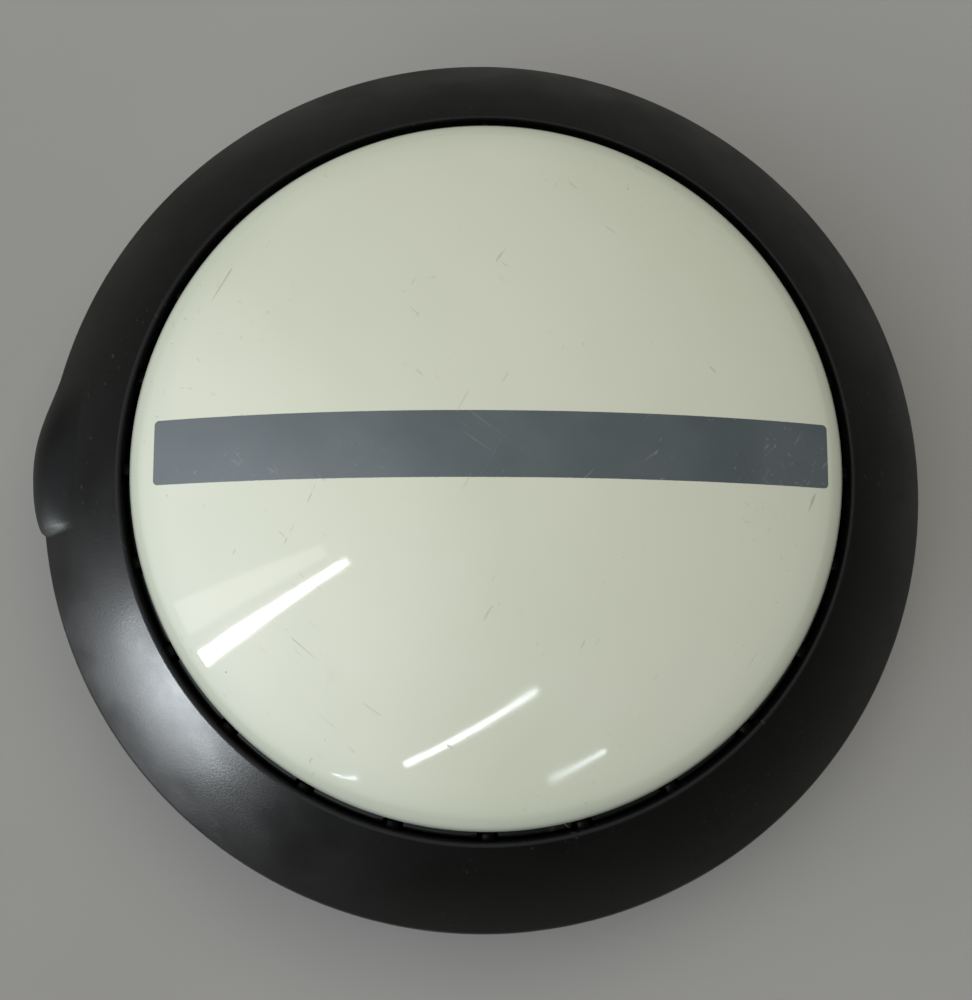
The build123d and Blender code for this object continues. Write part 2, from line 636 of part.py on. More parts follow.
# Pressure vent through the floor, with its nut
with BuildPart() as vent_plug:
    bar(Plane.XY, VENT_HEAD_RADIUS, SEAT_HEIGHT - VENT_THICK, SEAT_HEIGHT, places=[VENT_PLACE])
    bar(Plane.XY, VENT_RADIUS, SEAT_HEIGHT, FLOOR_TOP + 1.5 * VENT_THICK, places=[VENT_PLACE])
    chamfer(vent_plug.faces().sort_by(Axis.Z)[0].edges(), VENT_THICK / 3)
save(vent_plug, "vent_plug")

with BuildPart() as vent_nut:
    hexagon(Plane.XY, VENT_HEAD_RADIUS, FLOOR_TOP, FLOOR_TOP + VENT_THICK, places=[VENT_PLACE])
    bar(
        Plane.XY, VENT_RADIUS + FIT, FLOOR_TOP, FLOOR_TOP + VENT_THICK,
        places=[VENT_PLACE], mode=Mode.SUBTRACT,
    )
save(vent_nut, "vent_nut")

# Battery bays, packs, door seals, doors and hinge pins on the two X sides
for hand, side in DOOR_SIDES.items():
    with BuildPart() as battery_bay:
        block(side, BAY_WIDTH, BAY_HEIGHT, -BAY_DEPTH, 0, places=[(0, BAY_MIDDLE)])
        block(
            side, BAY_WIDTH - 2 * BAY_WALL, BAY_HEIGHT - 2 * BAY_WALL, BAY_WALL - BAY_DEPTH, 0,
            places=[(0, BAY_MIDDLE)], mode=Mode.SUBTRACT,
        )
    save(battery_bay, f"battery_bay_{hand}")

    with BuildPart() as battery_pack:
        pack_low = BAY_WALL + PACK_CLEAR - BAY_DEPTH
        block(
            side, PACK_WIDTH, PACK_THICK, pack_low, pack_low + PACK_LENGTH,
            places=[(0, BAY_MIDDLE)], corner=PACK_CORNER,
        )
    save(battery_pack, f"battery_pack_{hand}")

    with BuildPart() as battery_contacts:
        first = -CONTACT_PITCH * (CONTACT_COUNT - 1) / 2
        blades = [(first + CONTACT_PITCH * number, BAY_MIDDLE) for number in range(CONTACT_COUNT)]
        blade_low = BAY_WALL - BAY_DEPTH
        blade_high = blade_low + PACK_CLEAR - LOOSE
        block(side, CONTACT_WIDTH, CONTACT_HEIGHT, blade_low, blade_high, places=blades)
    save(battery_contacts, f"battery_contacts_{hand}")

    with BuildPart() as door_seal:
        seal_inner = 2 * LOOSE
        seal_outer = seal_inner + 2 * DOOR_SEAL_WIDTH
        block(
            side, BAY_WIDTH + seal_outer, BAY_HEIGHT + seal_outer, 0, DOOR_SEAL_THICK,
            places=[(0, BAY_MIDDLE)], corner=DOOR_SEAL_WIDTH,
        )
        block(
            side, BAY_WIDTH + seal_inner, BAY_HEIGHT + seal_inner, 0, DOOR_SEAL_THICK,
            places=[(0, BAY_MIDDLE)], mode=Mode.SUBTRACT,
        )
    save(door_seal, f"door_seal_{hand}")

    hinge = across(side, DOOR_HINGE, HINGE_OUT)
    with BuildPart() as battery_door:
        door_top = DOOR_STANDOFF + DOOR_THICK
        block(
            side, DOOR_WIDTH, DOOR_HEIGHT, DOOR_STANDOFF, door_top,
            places=[(0, BAY_MIDDLE)], corner=DOOR_CORNER,
        )
        outer_face = battery_door.faces().sort_by(Axis(side.origin, side.z_dir))[-1]
        chamfer(outer_face.edges(), DOOR_THICK / 4)
        web = HINGE_RISE + DOOR_CORNER
        block(
            side, KNUCKLE_LENGTH, web, DOOR_STANDOFF, HINGE_OUT,
            places=[(0, DOOR_HINGE - web / 2)],
        )
        bar(hinge, KNUCKLE_RADIUS, -KNUCKLE_LENGTH / 2, KNUCKLE_LENGTH / 2)
        bar(hinge, HINGE_PIN_RADIUS + FIT, -KNUCKLE_LENGTH / 2, KNUCKLE_LENGTH / 2, mode=Mode.SUBTRACT)
        block(
            side, DOOR_TAB_WIDTH, DOOR_THICK, door_top - DOOR_THICK / 2, door_top + DOOR_THICK / 2,
            places=[(0, BAY_MIDDLE - DOOR_HEIGHT / 2 + DOOR_THICK)],
        )
        grooves = [(0, BAY_MIDDLE + step * DOOR_GROOVE_PITCH) for step in (-1, 0, 1)]
        block(
            side, DOOR_GROOVE_LENGTH, DOOR_GROOVE_WIDTH, door_top - DOOR_GROOVE_DEPTH, door_top,
            places=grooves, mode=Mode.SUBTRACT,
        )
    save(battery_door, f"battery_door_{hand}")

    with BuildPart() as hinge_pin:
        pin_end = KNUCKLE_LENGTH / 2 + MOVING + LUG_LENGTH
        bar(hinge, HINGE_PIN_RADIUS, -pin_end, pin_end)
    save(hinge_pin, f"door_pin_{hand}")

# Key panel with its keys, lights and board
key_places = {"power_key": (-KEY_PLACE, PANEL_LIFT), "record_key": (KEY_PLACE, PANEL_LIFT)}
light_first = -LIGHT_PITCH * (LIGHT_COUNT - 1) / 2
light_places = [(light_first + LIGHT_PITCH * number, PANEL_LIFT) for number in range(LIGHT_COUNT)]
KEY_HOLE = KEY_RADIUS + MOVING
KEY_BOARD_OUT = -(KEY_FLANGE + KEY_TRAVEL + 3 * MOVING)
key_post_places = corners(
    KEY_PANEL_WIDTH / 2 - KEY_POST_INSET[0], KEY_PANEL_HEIGHT / 2 - KEY_POST_INSET[1], PANEL_LIFT
)

with BuildPart() as key_panel:
    block(
        KEY_SIDE, KEY_PANEL_WIDTH, KEY_PANEL_HEIGHT, 0, PANEL_THICK,
        places=[(0, PANEL_LIFT)], corner=PANEL_SCREW_INSET,
    )
    chamfer(key_panel.faces().sort_by(Axis.Y)[0].edges(), PANEL_THICK / 4)
    bar(KEY_SIDE, KEY_HOLE, 0, PANEL_THICK, places=list(key_places.values()), mode=Mode.SUBTRACT)
    bar(KEY_SIDE, LIGHT_RADIUS + FIT, 0, PANEL_THICK, places=light_places, mode=Mode.SUBTRACT)
    bar(
        KEY_SIDE, SMALL_SCREW_RADIUS + LOOSE, 0, PANEL_THICK,
        places=KEY_SCREW_PLACES, mode=Mode.SUBTRACT,
    )
    bar(KEY_SIDE, SCREW_RADIUS, KEY_BOARD_OUT, 0, places=key_post_places)
save(key_panel, "key_panel")

for name, place in key_places.items():
    with BuildPart() as key:
        bar(KEY_SIDE, KEY_RADIUS, -MOVING, PANEL_THICK + KEY_PROUD, places=[place])
        fillet(key.faces().sort_by(Axis.Y)[0].edges(), KEY_PROUD / 2)
        bar(KEY_SIDE, KEY_RADIUS + KEY_FLANGE, -MOVING - KEY_FLANGE, -MOVING, places=[place])
    save(key, name)

with BuildPart() as key_board:
    block(
        KEY_SIDE, KEY_PANEL_WIDTH - 2 * KEY_BOARD_INSET[0], KEY_PANEL_HEIGHT - 2 * KEY_BOARD_INSET[1],
        KEY_BOARD_OUT - BOARD_THICK, KEY_BOARD_OUT, places=[(0, PANEL_LIFT)],
    )
save(key_board, "key_board")

with BuildPart() as light_pipes:
    bar(KEY_SIDE, LIGHT_RADIUS, KEY_BOARD_OUT + LOOSE, PANEL_THICK + LOOSE, places=light_places)
save(light_pipes, "light_pipes")

with BuildPart() as key_panel_screws:
    head_low = PANEL_THICK
    bar(KEY_SIDE, SMALL_HEAD_RADIUS, head_low, head_low + SMALL_HEAD_THICK, places=KEY_SCREW_PLACES)
    bar(KEY_SIDE, SMALL_SCREW_RADIUS, head_low - SMALL_SCREW_LENGTH, head_low, places=KEY_SCREW_PLACES)
save(key_panel_screws, "key_panel_screws")

# Socket panel with two data sockets under sprung caps, and the radio aerial's socket
socket_places = [(place, PANEL_LIFT) for place in SOCKET_PLACES]
aerial_places = [(AERIAL_PLACE, PANEL_LIFT)]

with BuildPart() as socket_panel:
    block(
        SOCKET_SIDE, SOCKET_PANEL_WIDTH, SOCKET_PANEL_HEIGHT, 0, PANEL_THICK,
        places=[(0, PANEL_LIFT)], corner=PANEL_SCREW_INSET,
    )
    lug_offset = CAP_ARM_WIDTH / 2 + MOVING + CAP_LUG_LENGTH / 2
    for place in SOCKET_PLACES:
        lug_places = [(place - lug_offset, CAP_AXIS_HEIGHT), (place + lug_offset, CAP_AXIS_HEIGHT)]
        lug_out = CAP_AXIS_OUT + CAP_LUG_SIZE / 2
        block(SOCKET_SIDE, CAP_LUG_LENGTH, CAP_LUG_SIZE, 0, lug_out, places=lug_places)
        cap_line = across(SOCKET_SIDE, CAP_AXIS_HEIGHT, CAP_AXIS_OUT, place)
        lug_end = lug_offset + CAP_LUG_LENGTH / 2
        bar(cap_line, CAP_PIN_RADIUS + FIT, -lug_end, lug_end, mode=Mode.SUBTRACT)
    bar(SOCKET_SIDE, SOCKET_RADIUS + FIT, 0, PANEL_THICK, places=socket_places, mode=Mode.SUBTRACT)
    bar(
        SOCKET_SIDE, AERIAL_THREAD_RADIUS + FIT, 0, PANEL_THICK,
        places=aerial_places, mode=Mode.SUBTRACT,
    )
    bar(
        SOCKET_SIDE, SMALL_SCREW_RADIUS + LOOSE, 0, PANEL_THICK,
        places=SOCKET_SCREW_PLACES, mode=Mode.SUBTRACT,
    )
save(socket_panel, "socket_panel")

with BuildPart() as socket_panel_screws:
    bar(
        SOCKET_SIDE, SMALL_HEAD_RADIUS, PANEL_THICK, PANEL_THICK + SMALL_HEAD_THICK,
        places=SOCKET_SCREW_PLACES,
    )
    bar(
        SOCKET_SIDE, SMALL_SCREW_RADIUS, PANEL_THICK - SMALL_SCREW_LENGTH, PANEL_THICK,
        places=SOCKET_SCREW_PLACES,
    )
save(socket_panel_screws, "socket_panel_screws")

with BuildPart() as data_sockets:
    flange_top = PANEL_THICK + SOCKET_FLANGE_THICK
    bar(SOCKET_SIDE, SOCKET_RADIUS, -SOCKET_TAIL, SOCKET_FACE, places=socket_places)
    bar(SOCKET_SIDE, SOCKET_FLANGE_RADIUS, PANEL_THICK, flange_top, places=socket_places)
    bar(SOCKET_SIDE, SOCKET_BORE, -SOCKET_TAIL, SOCKET_FACE, places=socket_places, mode=Mode.SUBTRACT)
save(data_sockets, "data_sockets")

contact_places = [
    (place + x, PANEL_LIFT + y)
    for place in SOCKET_PLACES
    for x, y in circle_places(SOCKET_CONTACT_CIRCLE, SOCKET_CONTACTS)
]
with BuildPart() as socket_inserts:
    insert_top = SOCKET_FACE - SOCKET_RECESS
    bar(SOCKET_SIDE, SOCKET_BORE - FIT, -SOCKET_TAIL, insert_top, places=socket_places)
    bar(
        SOCKET_SIDE, SOCKET_CONTACT_RADIUS, -SOCKET_TAIL, insert_top,
        places=contact_places, mode=Mode.SUBTRACT,
    )
save(socket_inserts, "socket_inserts")

with BuildPart() as socket_contacts:
    bar(
        SOCKET_SIDE, SOCKET_CONTACT_RADIUS - FIT, -SOCKET_TAIL - SOCKET_CONTACT_TAIL, insert_top - LOOSE,
        places=contact_places,
    )
save(socket_contacts, "socket_contacts")

with BuildPart() as socket_nuts:
    hexagon(SOCKET_SIDE, SOCKET_NUT_RADIUS, -HOUSING_WALL, 0, places=socket_places)
    bar(SOCKET_SIDE, SOCKET_RADIUS + FIT, -HOUSING_WALL, 0, places=socket_places, mode=Mode.SUBTRACT)
    hexagon(SOCKET_SIDE, AERIAL_NUT_RADIUS, -HOUSING_WALL, 0, places=aerial_places)
    bar(
        SOCKET_SIDE, AERIAL_THREAD_RADIUS + FIT, -HOUSING_WALL, 0,
        places=aerial_places, mode=Mode.SUBTRACT,
    )
save(socket_nuts, "socket_nuts")

with BuildPart() as aerial_socket:
    aerial_flange = PANEL_THICK + SOCKET_FLANGE_THICK
    aerial_top = PANEL_THICK + AERIAL_LENGTH
    bar(SOCKET_SIDE, AERIAL_THREAD_RADIUS, -AERIAL_TAIL, aerial_top, places=aerial_places)
    hexagon(SOCKET_SIDE, AERIAL_NUT_RADIUS, PANEL_THICK, aerial_flange, places=aerial_places)
    bar(SOCKET_SIDE, AERIAL_BORE, -AERIAL_TAIL, aerial_top, places=aerial_places, mode=Mode.SUBTRACT)
save(aerial_socket, "aerial_socket")

with BuildPart() as aerial_core:
    bar(SOCKET_SIDE, AERIAL_BORE - FIT, -AERIAL_TAIL, aerial_flange, places=aerial_places)
    core_top = aerial_top - AERIAL_CORE_SINK
    bar(SOCKET_SIDE, AERIAL_CORE_RADIUS, aerial_flange, core_top, places=aerial_places)
save(aerial_core, "aerial_core")

for hand, place in zip(("left", "right"), SOCKET_PLACES):
    cap_line = across(SOCKET_SIDE, CAP_AXIS_HEIGHT, CAP_AXIS_OUT, place)
    with BuildPart() as dust_cap:
        bar(SOCKET_SIDE, CAP_RADIUS, CAP_LOW, CAP_LOW + CAP_THICK, places=[(place, PANEL_LIFT)])
        fillet(dust_cap.faces().sort_by(Axis.Y)[-1].edges(), CAP_THICK / 3)
        block(
            SOCKET_SIDE, CAP_ARM_WIDTH, CAP_HINGE_RISE, CAP_LOW, CAP_AXIS_OUT + CAP_KNUCKLE_RADIUS,
            places=[(place, PANEL_LIFT + CAP_HINGE_RISE / 2)],
        )
        bar(cap_line, CAP_KNUCKLE_RADIUS, -CAP_ARM_WIDTH / 2, CAP_ARM_WIDTH / 2)
        bar(
            cap_line, CAP_PIN_RADIUS + FIT, -CAP_ARM_WIDTH / 2, CAP_ARM_WIDTH / 2,
            mode=Mode.SUBTRACT,
        )
    save(dust_cap, f"dust_cap_{hand}")

with BuildPart() as cap_pins:
    for place in SOCKET_PLACES:
        cap_line = across(SOCKET_SIDE, CAP_AXIS_HEIGHT, CAP_AXIS_OUT, place)
        bar(cap_line, CAP_PIN_RADIUS, -lug_end, lug_end)
save(cap_pins, "cap_pins")

# Chassis plate across the top of the housing
with BuildPart() as chassis_plate:
    block(
        Plane.XY, 2 * (DOOR_FLAT - HOUSING_WALL - PLATE_EDGE),
        2 * (PANEL_FLAT - HOUSING_WALL - PLATE_EDGE), PLATE_LOW, PLATE_TOP,
    )
    bar(Plane.XY, CAVITY_RADIUS - PLATE_EDGE, PLATE_LOW, PLATE_TOP, mode=Mode.INTERSECT)
    bar(
        Plane.XY, SCREW_RADIUS + LOOSE, PLATE_LOW, PLATE_TOP,
        places=CHASSIS_SCREW_PLACES, mode=Mode.SUBTRACT,
    )
    bar(Plane.XY, 1.5 * LINK_RADIUS, PLATE_LOW, PLATE_TOP, places=[LINK_PLACE], mode=Mode.SUBTRACT)
save(chassis_plate, "chassis_plate")

with BuildPart() as chassis_screws:
    bar(Plane.XY, SCREW_RADIUS, screw_depth + LOOSE, PLATE_TOP, places=CHASSIS_SCREW_PLACES)
    bar(
        Plane.XY, SCREW_HEAD_RADIUS, PLATE_TOP, PLATE_TOP + SCREW_HEAD_THICK,
        places=CHASSIS_SCREW_PLACES,
    )
save(chassis_screws, "chassis_screws")

# Main board on its posts, with its modules
with BuildPart() as main_board:
    block(Plane.XY, BOARD_SIZE, BOARD_SIZE, BOARD_LOW, BOARD_TOP, corner=BOARD_POST_INSET)
    bar(
        Plane.XY, SMALL_SCREW_RADIUS + LOOSE, BOARD_LOW, BOARD_TOP,
        places=BOARD_POST_PLACES, mode=Mode.SUBTRACT,
    )
save(main_board, "main_board")

with BuildPart() as board_screws:
    shank_low = BOARD_LOW + LOOSE - SMALL_SCREW_LENGTH
    bar(Plane.XY, SMALL_SCREW_RADIUS, shank_low, BOARD_TOP, places=BOARD_POST_PLACES)
    bar(Plane.XY, SMALL_HEAD_RADIUS, BOARD_TOP, BOARD_TOP + SMALL_HEAD_THICK, places=BOARD_POST_PLACES)
save(board_screws, "board_screws")

modules = {
    "positioning_module": ((22, -16), (34, 40), 5.0),
    "processor_shield": ((20, 22), (30, 26), 4.0),
    "radio_module": ((-24, -6), (34, 46), 9.0),
}
for name, (middle, (width, depth), height) in modules.items():
    with BuildPart() as module:
        block(
            Plane.XY, width, depth, BOARD_TOP, BOARD_TOP + height,
            places=[middle], corner=MODULE_CORNER,
        )
        chamfer(module.faces().sort_by(Axis.Z)[-1].edges(), MODULE_EDGE)
    save(module, name)

# Antenna: standoffs, amplifier board and shield, ground plane and two stacked patches
with BuildPart() as antenna_standoffs:
    hexagon(Plane.XY, STANDOFF_RADIUS, PLATE_TOP, ANTENNA_LOW, places=STANDOFF_PLACES)
    bar(
        Plane.XY, SCREW_RADIUS + FIT, PLATE_TOP + STANDOFF_HEIGHT / 4, ANTENNA_LOW,
        places=STANDOFF_PLACES, mode=Mode.SUBTRACT,
    )
save(antenna_standoffs, "antenna_standoffs")

with BuildPart() as antenna_board:
    bar(Plane.XY, GROUND_RADIUS - ANTENNA_BOARD_EDGE, ANTENNA_LOW, GROUND_LOW)
    bar(
        Plane.XY, SCREW_RADIUS + LOOSE, ANTENNA_LOW, GROUND_LOW,
        places=STANDOFF_PLACES, mode=Mode.SUBTRACT,
    )
save(antenna_board, "antenna_board")

with BuildPart() as amplifier_shield:
    shield_low = ANTENNA_LOW - SHIELD_HEIGHT
    block(Plane.XY, SHIELD_WIDTH, SHIELD_DEPTH, shield_low, ANTENNA_LOW, corner=MODULE_CORNER)
    chamfer(amplifier_shield.faces().sort_by(Axis.Z)[0].edges(), MODULE_EDGE)
save(amplifier_shield, "amplifier_shield")

with BuildPart() as ground_plane:
    bar(Plane.XY, GROUND_RADIUS, GROUND_LOW, GROUND_TOP)
    bar(
        Plane.XY, SCREW_RADIUS + LOOSE, GROUND_LOW, GROUND_TOP,
        places=STANDOFF_PLACES, mode=Mode.SUBTRACT,
    )
    bar(Plane.XY, FEED_RADIUS + LOOSE, GROUND_LOW, GROUND_TOP, places=FEED_PLACES, mode=Mode.SUBTRACT)
save(ground_plane, "ground_plane")

with BuildPart() as antenna_screws:
    bar(
        Plane.XY, SCREW_RADIUS, PLATE_TOP + STANDOFF_HEIGHT / 4 + LOOSE, GROUND_TOP,
        places=STANDOFF_PLACES,
    )
    bar(Plane.XY, SCREW_HEAD_RADIUS, GROUND_TOP, GROUND_TOP + SCREW_HEAD_THICK, places=STANDOFF_PLACES)
save(antenna_screws, "antenna_screws")

patches = {
    "lower_patch": (LOWER_PATCH_RADIUS, GROUND_TOP, LOWER_TOP),
    "lower_element": (LOWER_PATCH_RADIUS - ELEMENT_EDGE, LOWER_TOP, UPPER_LOW),
    "upper_patch": (UPPER_PATCH_RADIUS, UPPER_LOW, UPPER_TOP),
    "upper_element": (UPPER_PATCH_RADIUS - ELEMENT_EDGE, UPPER_TOP, UPPER_TOP + ELEMENT_THICK),
}
for name, (radius, low, high) in patches.items():
    with BuildPart() as patch:
        bar(Plane.XY, radius, low, high)
        bar(Plane.XY, FEED_RADIUS + FIT, low, high, places=FEED_PLACES, mode=Mode.SUBTRACT)
    save(patch, name)

with BuildPart() as feed_pins:
    bar(Plane.XY, FEED_RADIUS, GROUND_LOW, UPPER_TOP + 2 * ELEMENT_THICK, places=FEED_PLACES)
save(feed_pins, "feed_pins")

with BuildPart() as antenna_link:
    bar(Plane.XY, LINK_RADIUS, BOARD_TOP, ANTENNA_LOW, places=[LINK_PLACE])
save(antenna_link, "antenna_link")

# Short-range radio aerial under the hump, with its lead and the lead's grommet
AERIAL_MIDDLE = WALL_RADIUS + SHELF_DEPTH
with BuildPart() as radio_aerial:
    aerial_low = WALL_RADIUS + LOOSE
    aerial_high = WALL_RADIUS + 2 * SHELF_DEPTH
    block(
        HUMP_SIDE, SHELF_WIDTH, SHELF_THICK, aerial_low, aerial_high,
        places=[(0, SHELF_TOP + SHELF_THICK / 2)],
    )
    block(
        HUMP_SIDE, SHELF_WIDTH / 3, SHELF_THICK, AERIAL_MIDDLE, AERIAL_MIDDLE + SHELF_DEPTH / 2,
        places=[(0, SHELF_TOP + 3 * SHELF_THICK / 2)],
    )
save(radio_aerial, "radio_aerial")

with BuildPart() as aerial_lead:
    module_middle, module_size = modules["radio_module"][:2]
    lead_end = (module_size[0] / 2 - module_middle[0]) / cos(radians(180 - HUMP_AZIMUTH)) + LOOSE
    plug_out = AERIAL_MIDDLE + LOOSE
    block(
        HUMP_SIDE, PLUG_WIDTH, 2 * SHELF_THICK, plug_out, plug_out + PLUG_LENGTH,
        places=[(0, SHELF_TOP - SHELF_THICK)],
    )
    bar(HUMP_SIDE, LEAD_RADIUS, lead_end, plug_out + PLUG_LENGTH / 2, places=[(0, LEAD_HEIGHT)])
save(aerial_lead, "aerial_lead")

with BuildPart() as lead_grommet:
    grommet_low = DOOR_FLAT - HOUSING_WALL
    grommet_high = DOOR_FLAT + 2 * HOUSING_WALL / 3
    bar(HUMP_SIDE, GROMMET_RADIUS, grommet_low, grommet_high, places=[(0, LEAD_HEIGHT)])
    bar(
        HUMP_SIDE, LEAD_RADIUS + FIT, grommet_low, grommet_high,
        places=[(0, LEAD_HEIGHT)], mode=Mode.SUBTRACT,
    )
save(lead_grommet, "lead_grommet")
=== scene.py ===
import json

import bmesh
import bpy
import numpy as np
from mathutils import Matrix, Vector


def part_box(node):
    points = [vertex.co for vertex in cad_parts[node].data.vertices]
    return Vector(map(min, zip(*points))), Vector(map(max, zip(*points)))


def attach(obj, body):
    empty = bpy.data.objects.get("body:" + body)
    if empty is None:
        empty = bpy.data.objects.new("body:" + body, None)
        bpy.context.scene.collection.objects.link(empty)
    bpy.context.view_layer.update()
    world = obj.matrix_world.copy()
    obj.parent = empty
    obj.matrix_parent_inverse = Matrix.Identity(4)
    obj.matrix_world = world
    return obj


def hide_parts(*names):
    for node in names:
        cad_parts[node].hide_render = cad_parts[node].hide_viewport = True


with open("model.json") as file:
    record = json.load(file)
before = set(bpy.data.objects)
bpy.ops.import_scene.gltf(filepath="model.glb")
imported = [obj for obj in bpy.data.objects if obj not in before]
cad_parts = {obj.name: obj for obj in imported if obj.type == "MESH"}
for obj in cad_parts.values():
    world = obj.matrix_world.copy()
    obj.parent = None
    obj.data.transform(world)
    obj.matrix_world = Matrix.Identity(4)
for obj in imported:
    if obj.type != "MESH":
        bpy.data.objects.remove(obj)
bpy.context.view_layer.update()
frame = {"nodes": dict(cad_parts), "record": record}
NODES = frame["nodes"]
BODY = "receiver"
MM = 0.001

# Sizes from the frame, in metres
DOME_LOW, DOME_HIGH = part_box("radome")
SKIRT_LOW, SKIRT_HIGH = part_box("skirt_ring")
APEX = DOME_HIGH.z
LEDGE_RADIUS = DOME_HIGH.x
LIP_TOP = SKIRT_HIGH.z
EDGE_LOW = SKIRT_LOW.z
EDGE_RADIUS = SKIRT_HIGH.x
HUMP_REACH = -SKIRT_LOW.x - EDGE_RADIUS

# Radome
DOME_RADIUS = LEDGE_RADIUS - 2.0 * MM
CROWN = 207.0 * MM
SHOULDER = 9.0 * MM
DOME_WALL = 2.6 * MM
LEDGE_TOP = LIP_TOP - 6.0 * MM
LEDGE_THICK = 2.0 * MM
LEDGE_ROUND = 0.3 * MM
NOTCH_WIDTH = 4.6 * MM
NOTCH_FLOOR = DOME_RADIUS + 0.2 * MM
NOTCH_BLEND = 0.4 * MM
PITCHES = 24

# Skirt: its lip, foot, cone and edge
LIP_RADIUS = DOME_RADIUS + 2.5 * MM
LIP_ROUND = 0.9 * MM
LIP_WALL = 2.5 * MM
FOOT_LOW = 60.0 * MM
FOOT_HIGH = 63.0 * MM
FOOT_RADIUS = DOME_RADIUS - 10.5 * MM
SKIRT_WALL = 2.8 * MM
SKIRT_BULGE = 1.0 * MM
CONE_POINTS = 44
UNDER_START = 6
EDGE_ROUND = 0.6 * MM
EDGE_LAND = 1.2 * MM
EDGE_WIDTH = 3.4 * MM
SKIRT_STEPS = 720

# Hump on the skirt's edge: angles in degrees, reach and lift in metres
HUMP_AZIMUTH = 178.0
HUMP_LONG = 12.5
HUMP_SHORT = 9.0
HUMP_START = 109.0 * MM
HUMP_LIFT = 5.2 * MM

# Ribs inside the lip, gussets and the aerial's shelf under the cone
RIB_WIDTH = 3.0 * MM
RIB_NOSE = DOME_RADIUS + 0.4 * MM
RIB_BULGE = 0.8 * MM
RIB_TOP = LIP_TOP - 3.0 * MM
RIB_BEVEL = 0.3 * MM
GUSSETS = 12
GUSSET_THICK = 2.0 * MM
GUSSET_HEAD = LIP_TOP - 4.5 * MM
GUSSET_SLOPE = (4.0 * MM, LIP_TOP - 8.0 * MM)
GUSSET_TIP = 110.5 * MM
SLAB_BEVEL = 0.2 * MM
SLAB_SHRINK = 0.96
SHELF_AZIMUTH = 174.5
SHELF_DROP = 5.7 * MM
SHELF_BITE = 1.0 * MM
SHELF_TAB = 2.3 * MM
SHELF_REACH = 8.0 * MM
SHELF_WIDTH = 24.0 * MM
SHELF_THICK = 1.4 * MM

# Printed band on the dome
BAND_MIDDLE = (1.0 * MM, 2.3 * MM)
BAND_HALF = (84.4 * MM, 8.1 * MM)
BAND_CORNER = 1.2 * MM
BAND_SOFT = 0.06 * MM
BAND_RAGGED = 0.16 * MM
BAND_LOW = APEX - 30.0 * MM
BAND_FADE = 2.0 * MM

# Camera and light
CAMERA_PLACE = (-0.0117, -0.0554, 0.4556)
CAMERA_TARGET = (0.0001, -0.0051, 0.060)
CAMERA_LENS = 53.1
CAMERA_NEAR = 0.01
SKY_AZIMUTH = 199.0
SKY_HEIGHT = 36.0
SKY_EDGE = 0.55
SKY_FALL = 1.3
SKY_LOBE = 1.9
SKY_LOW = 0.05
SKY_TONE = (0.90, 0.97, 1.04)
FLOOR_REACH = 3.0
FLOOR_TONE = (0.37, 0.36, 0.345)
WHITE = (1.0, 1.0, 1.0)
WARM = (1.0, 0.97, 0.88)
COOL = (0.90, 0.96, 1.0)
COOLER = (0.85, 0.94, 1.0)
COOLEST = (0.80, 0.92, 1.0)


# ---------------------------------------------------------------- surfaces

def add_piece(name, mesh):
    """Put a mesh in the scene as a smooth, closed piece that rides on the receiver."""
    bm = bmesh.new()
    bm.from_mesh(mesh)
    bmesh.ops.remove_doubles(bm, verts=bm.verts, dist=1e-7)
    bmesh.ops.dissolve_degenerate(bm, edges=bm.edges, dist=1e-8)
    bmesh.ops.recalc_face_normals(bm, faces=bm.faces)
    bm.to_mesh(mesh)
    bm.free()
    piece = bpy.data.objects.new(name, mesh)
    bpy.context.scene.collection.objects.link(piece)
    mesh.polygons.foreach_set("use_smooth", np.ones(len(mesh.polygons), bool))
    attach(piece, BODY)
    return piece


def sheet_mesh(name, grids, wrap_rows=False, wrap_columns=False):
    """Make one mesh of several grids of points, shaped (grids, rows, columns, 3).

    Each square of four neighbouring points is a face; a wrapped direction joins its last line
    of points to its first.
    """
    count, rows, columns = grids.shape[:3]
    numbers = np.arange(count * rows * columns).reshape(count, rows, columns)
    if wrap_rows:
        numbers = np.concatenate([numbers, numbers[:, :1]], axis=1)
    if wrap_columns:
        numbers = np.concatenate([numbers, numbers[:, :, :1]], axis=2)
    corners = (numbers[:, :-1, :-1], numbers[:, 1:, :-1], numbers[:, 1:, 1:], numbers[:, :-1, 1:])
    faces = np.stack(corners, axis=-1).reshape(-1, 4)
    mesh = bpy.data.meshes.new(name)
    mesh.vertices.add(count * rows * columns)
    mesh.vertices.foreach_set("co", grids.astype(np.float32).ravel())
    mesh.loops.add(faces.size)
    mesh.loops.foreach_set("vertex_index", faces.astype(np.int32).ravel())
    mesh.polygons.add(len(faces))
    mesh.polygons.foreach_set("loop_start", np.arange(0, faces.size, 4, dtype=np.int32))
    mesh.update(calc_edges=True)
    mesh.validate()
    return mesh


def line(start, stop, count):
    """Points spread evenly from start to stop, without the last: start + (stop - start) * share."""
    share = np.linspace(0, 1, count, endpoint=False)[:, None]
    return np.array(start) + share * (np.array(stop) - np.array(start))


def arc(middle, radius, first, last, count):
    """Points round a circle: middle + radius * (sin, cos) of a turn measured from straight up."""
    turn = np.radians(np.linspace(first, last, count, endpoint=False))
    return np.array(middle) + radius * np.stack([np.sin(turn), np.cos(turn)], axis=1)


def bowed(start, stop, bow, count):
    """Points from start to stop, pushed sideways by bow * 4 * share * (1 - share)."""
    share = np.linspace(0, 1, count, endpoint=False)[:, None]
    run = np.array(stop) - np.array(start)
    side = np.array([-run[1], run[0]]) / np.hypot(*run)
    return np.array(start) + share * run + 4 * bow * share * (1 - share) * side


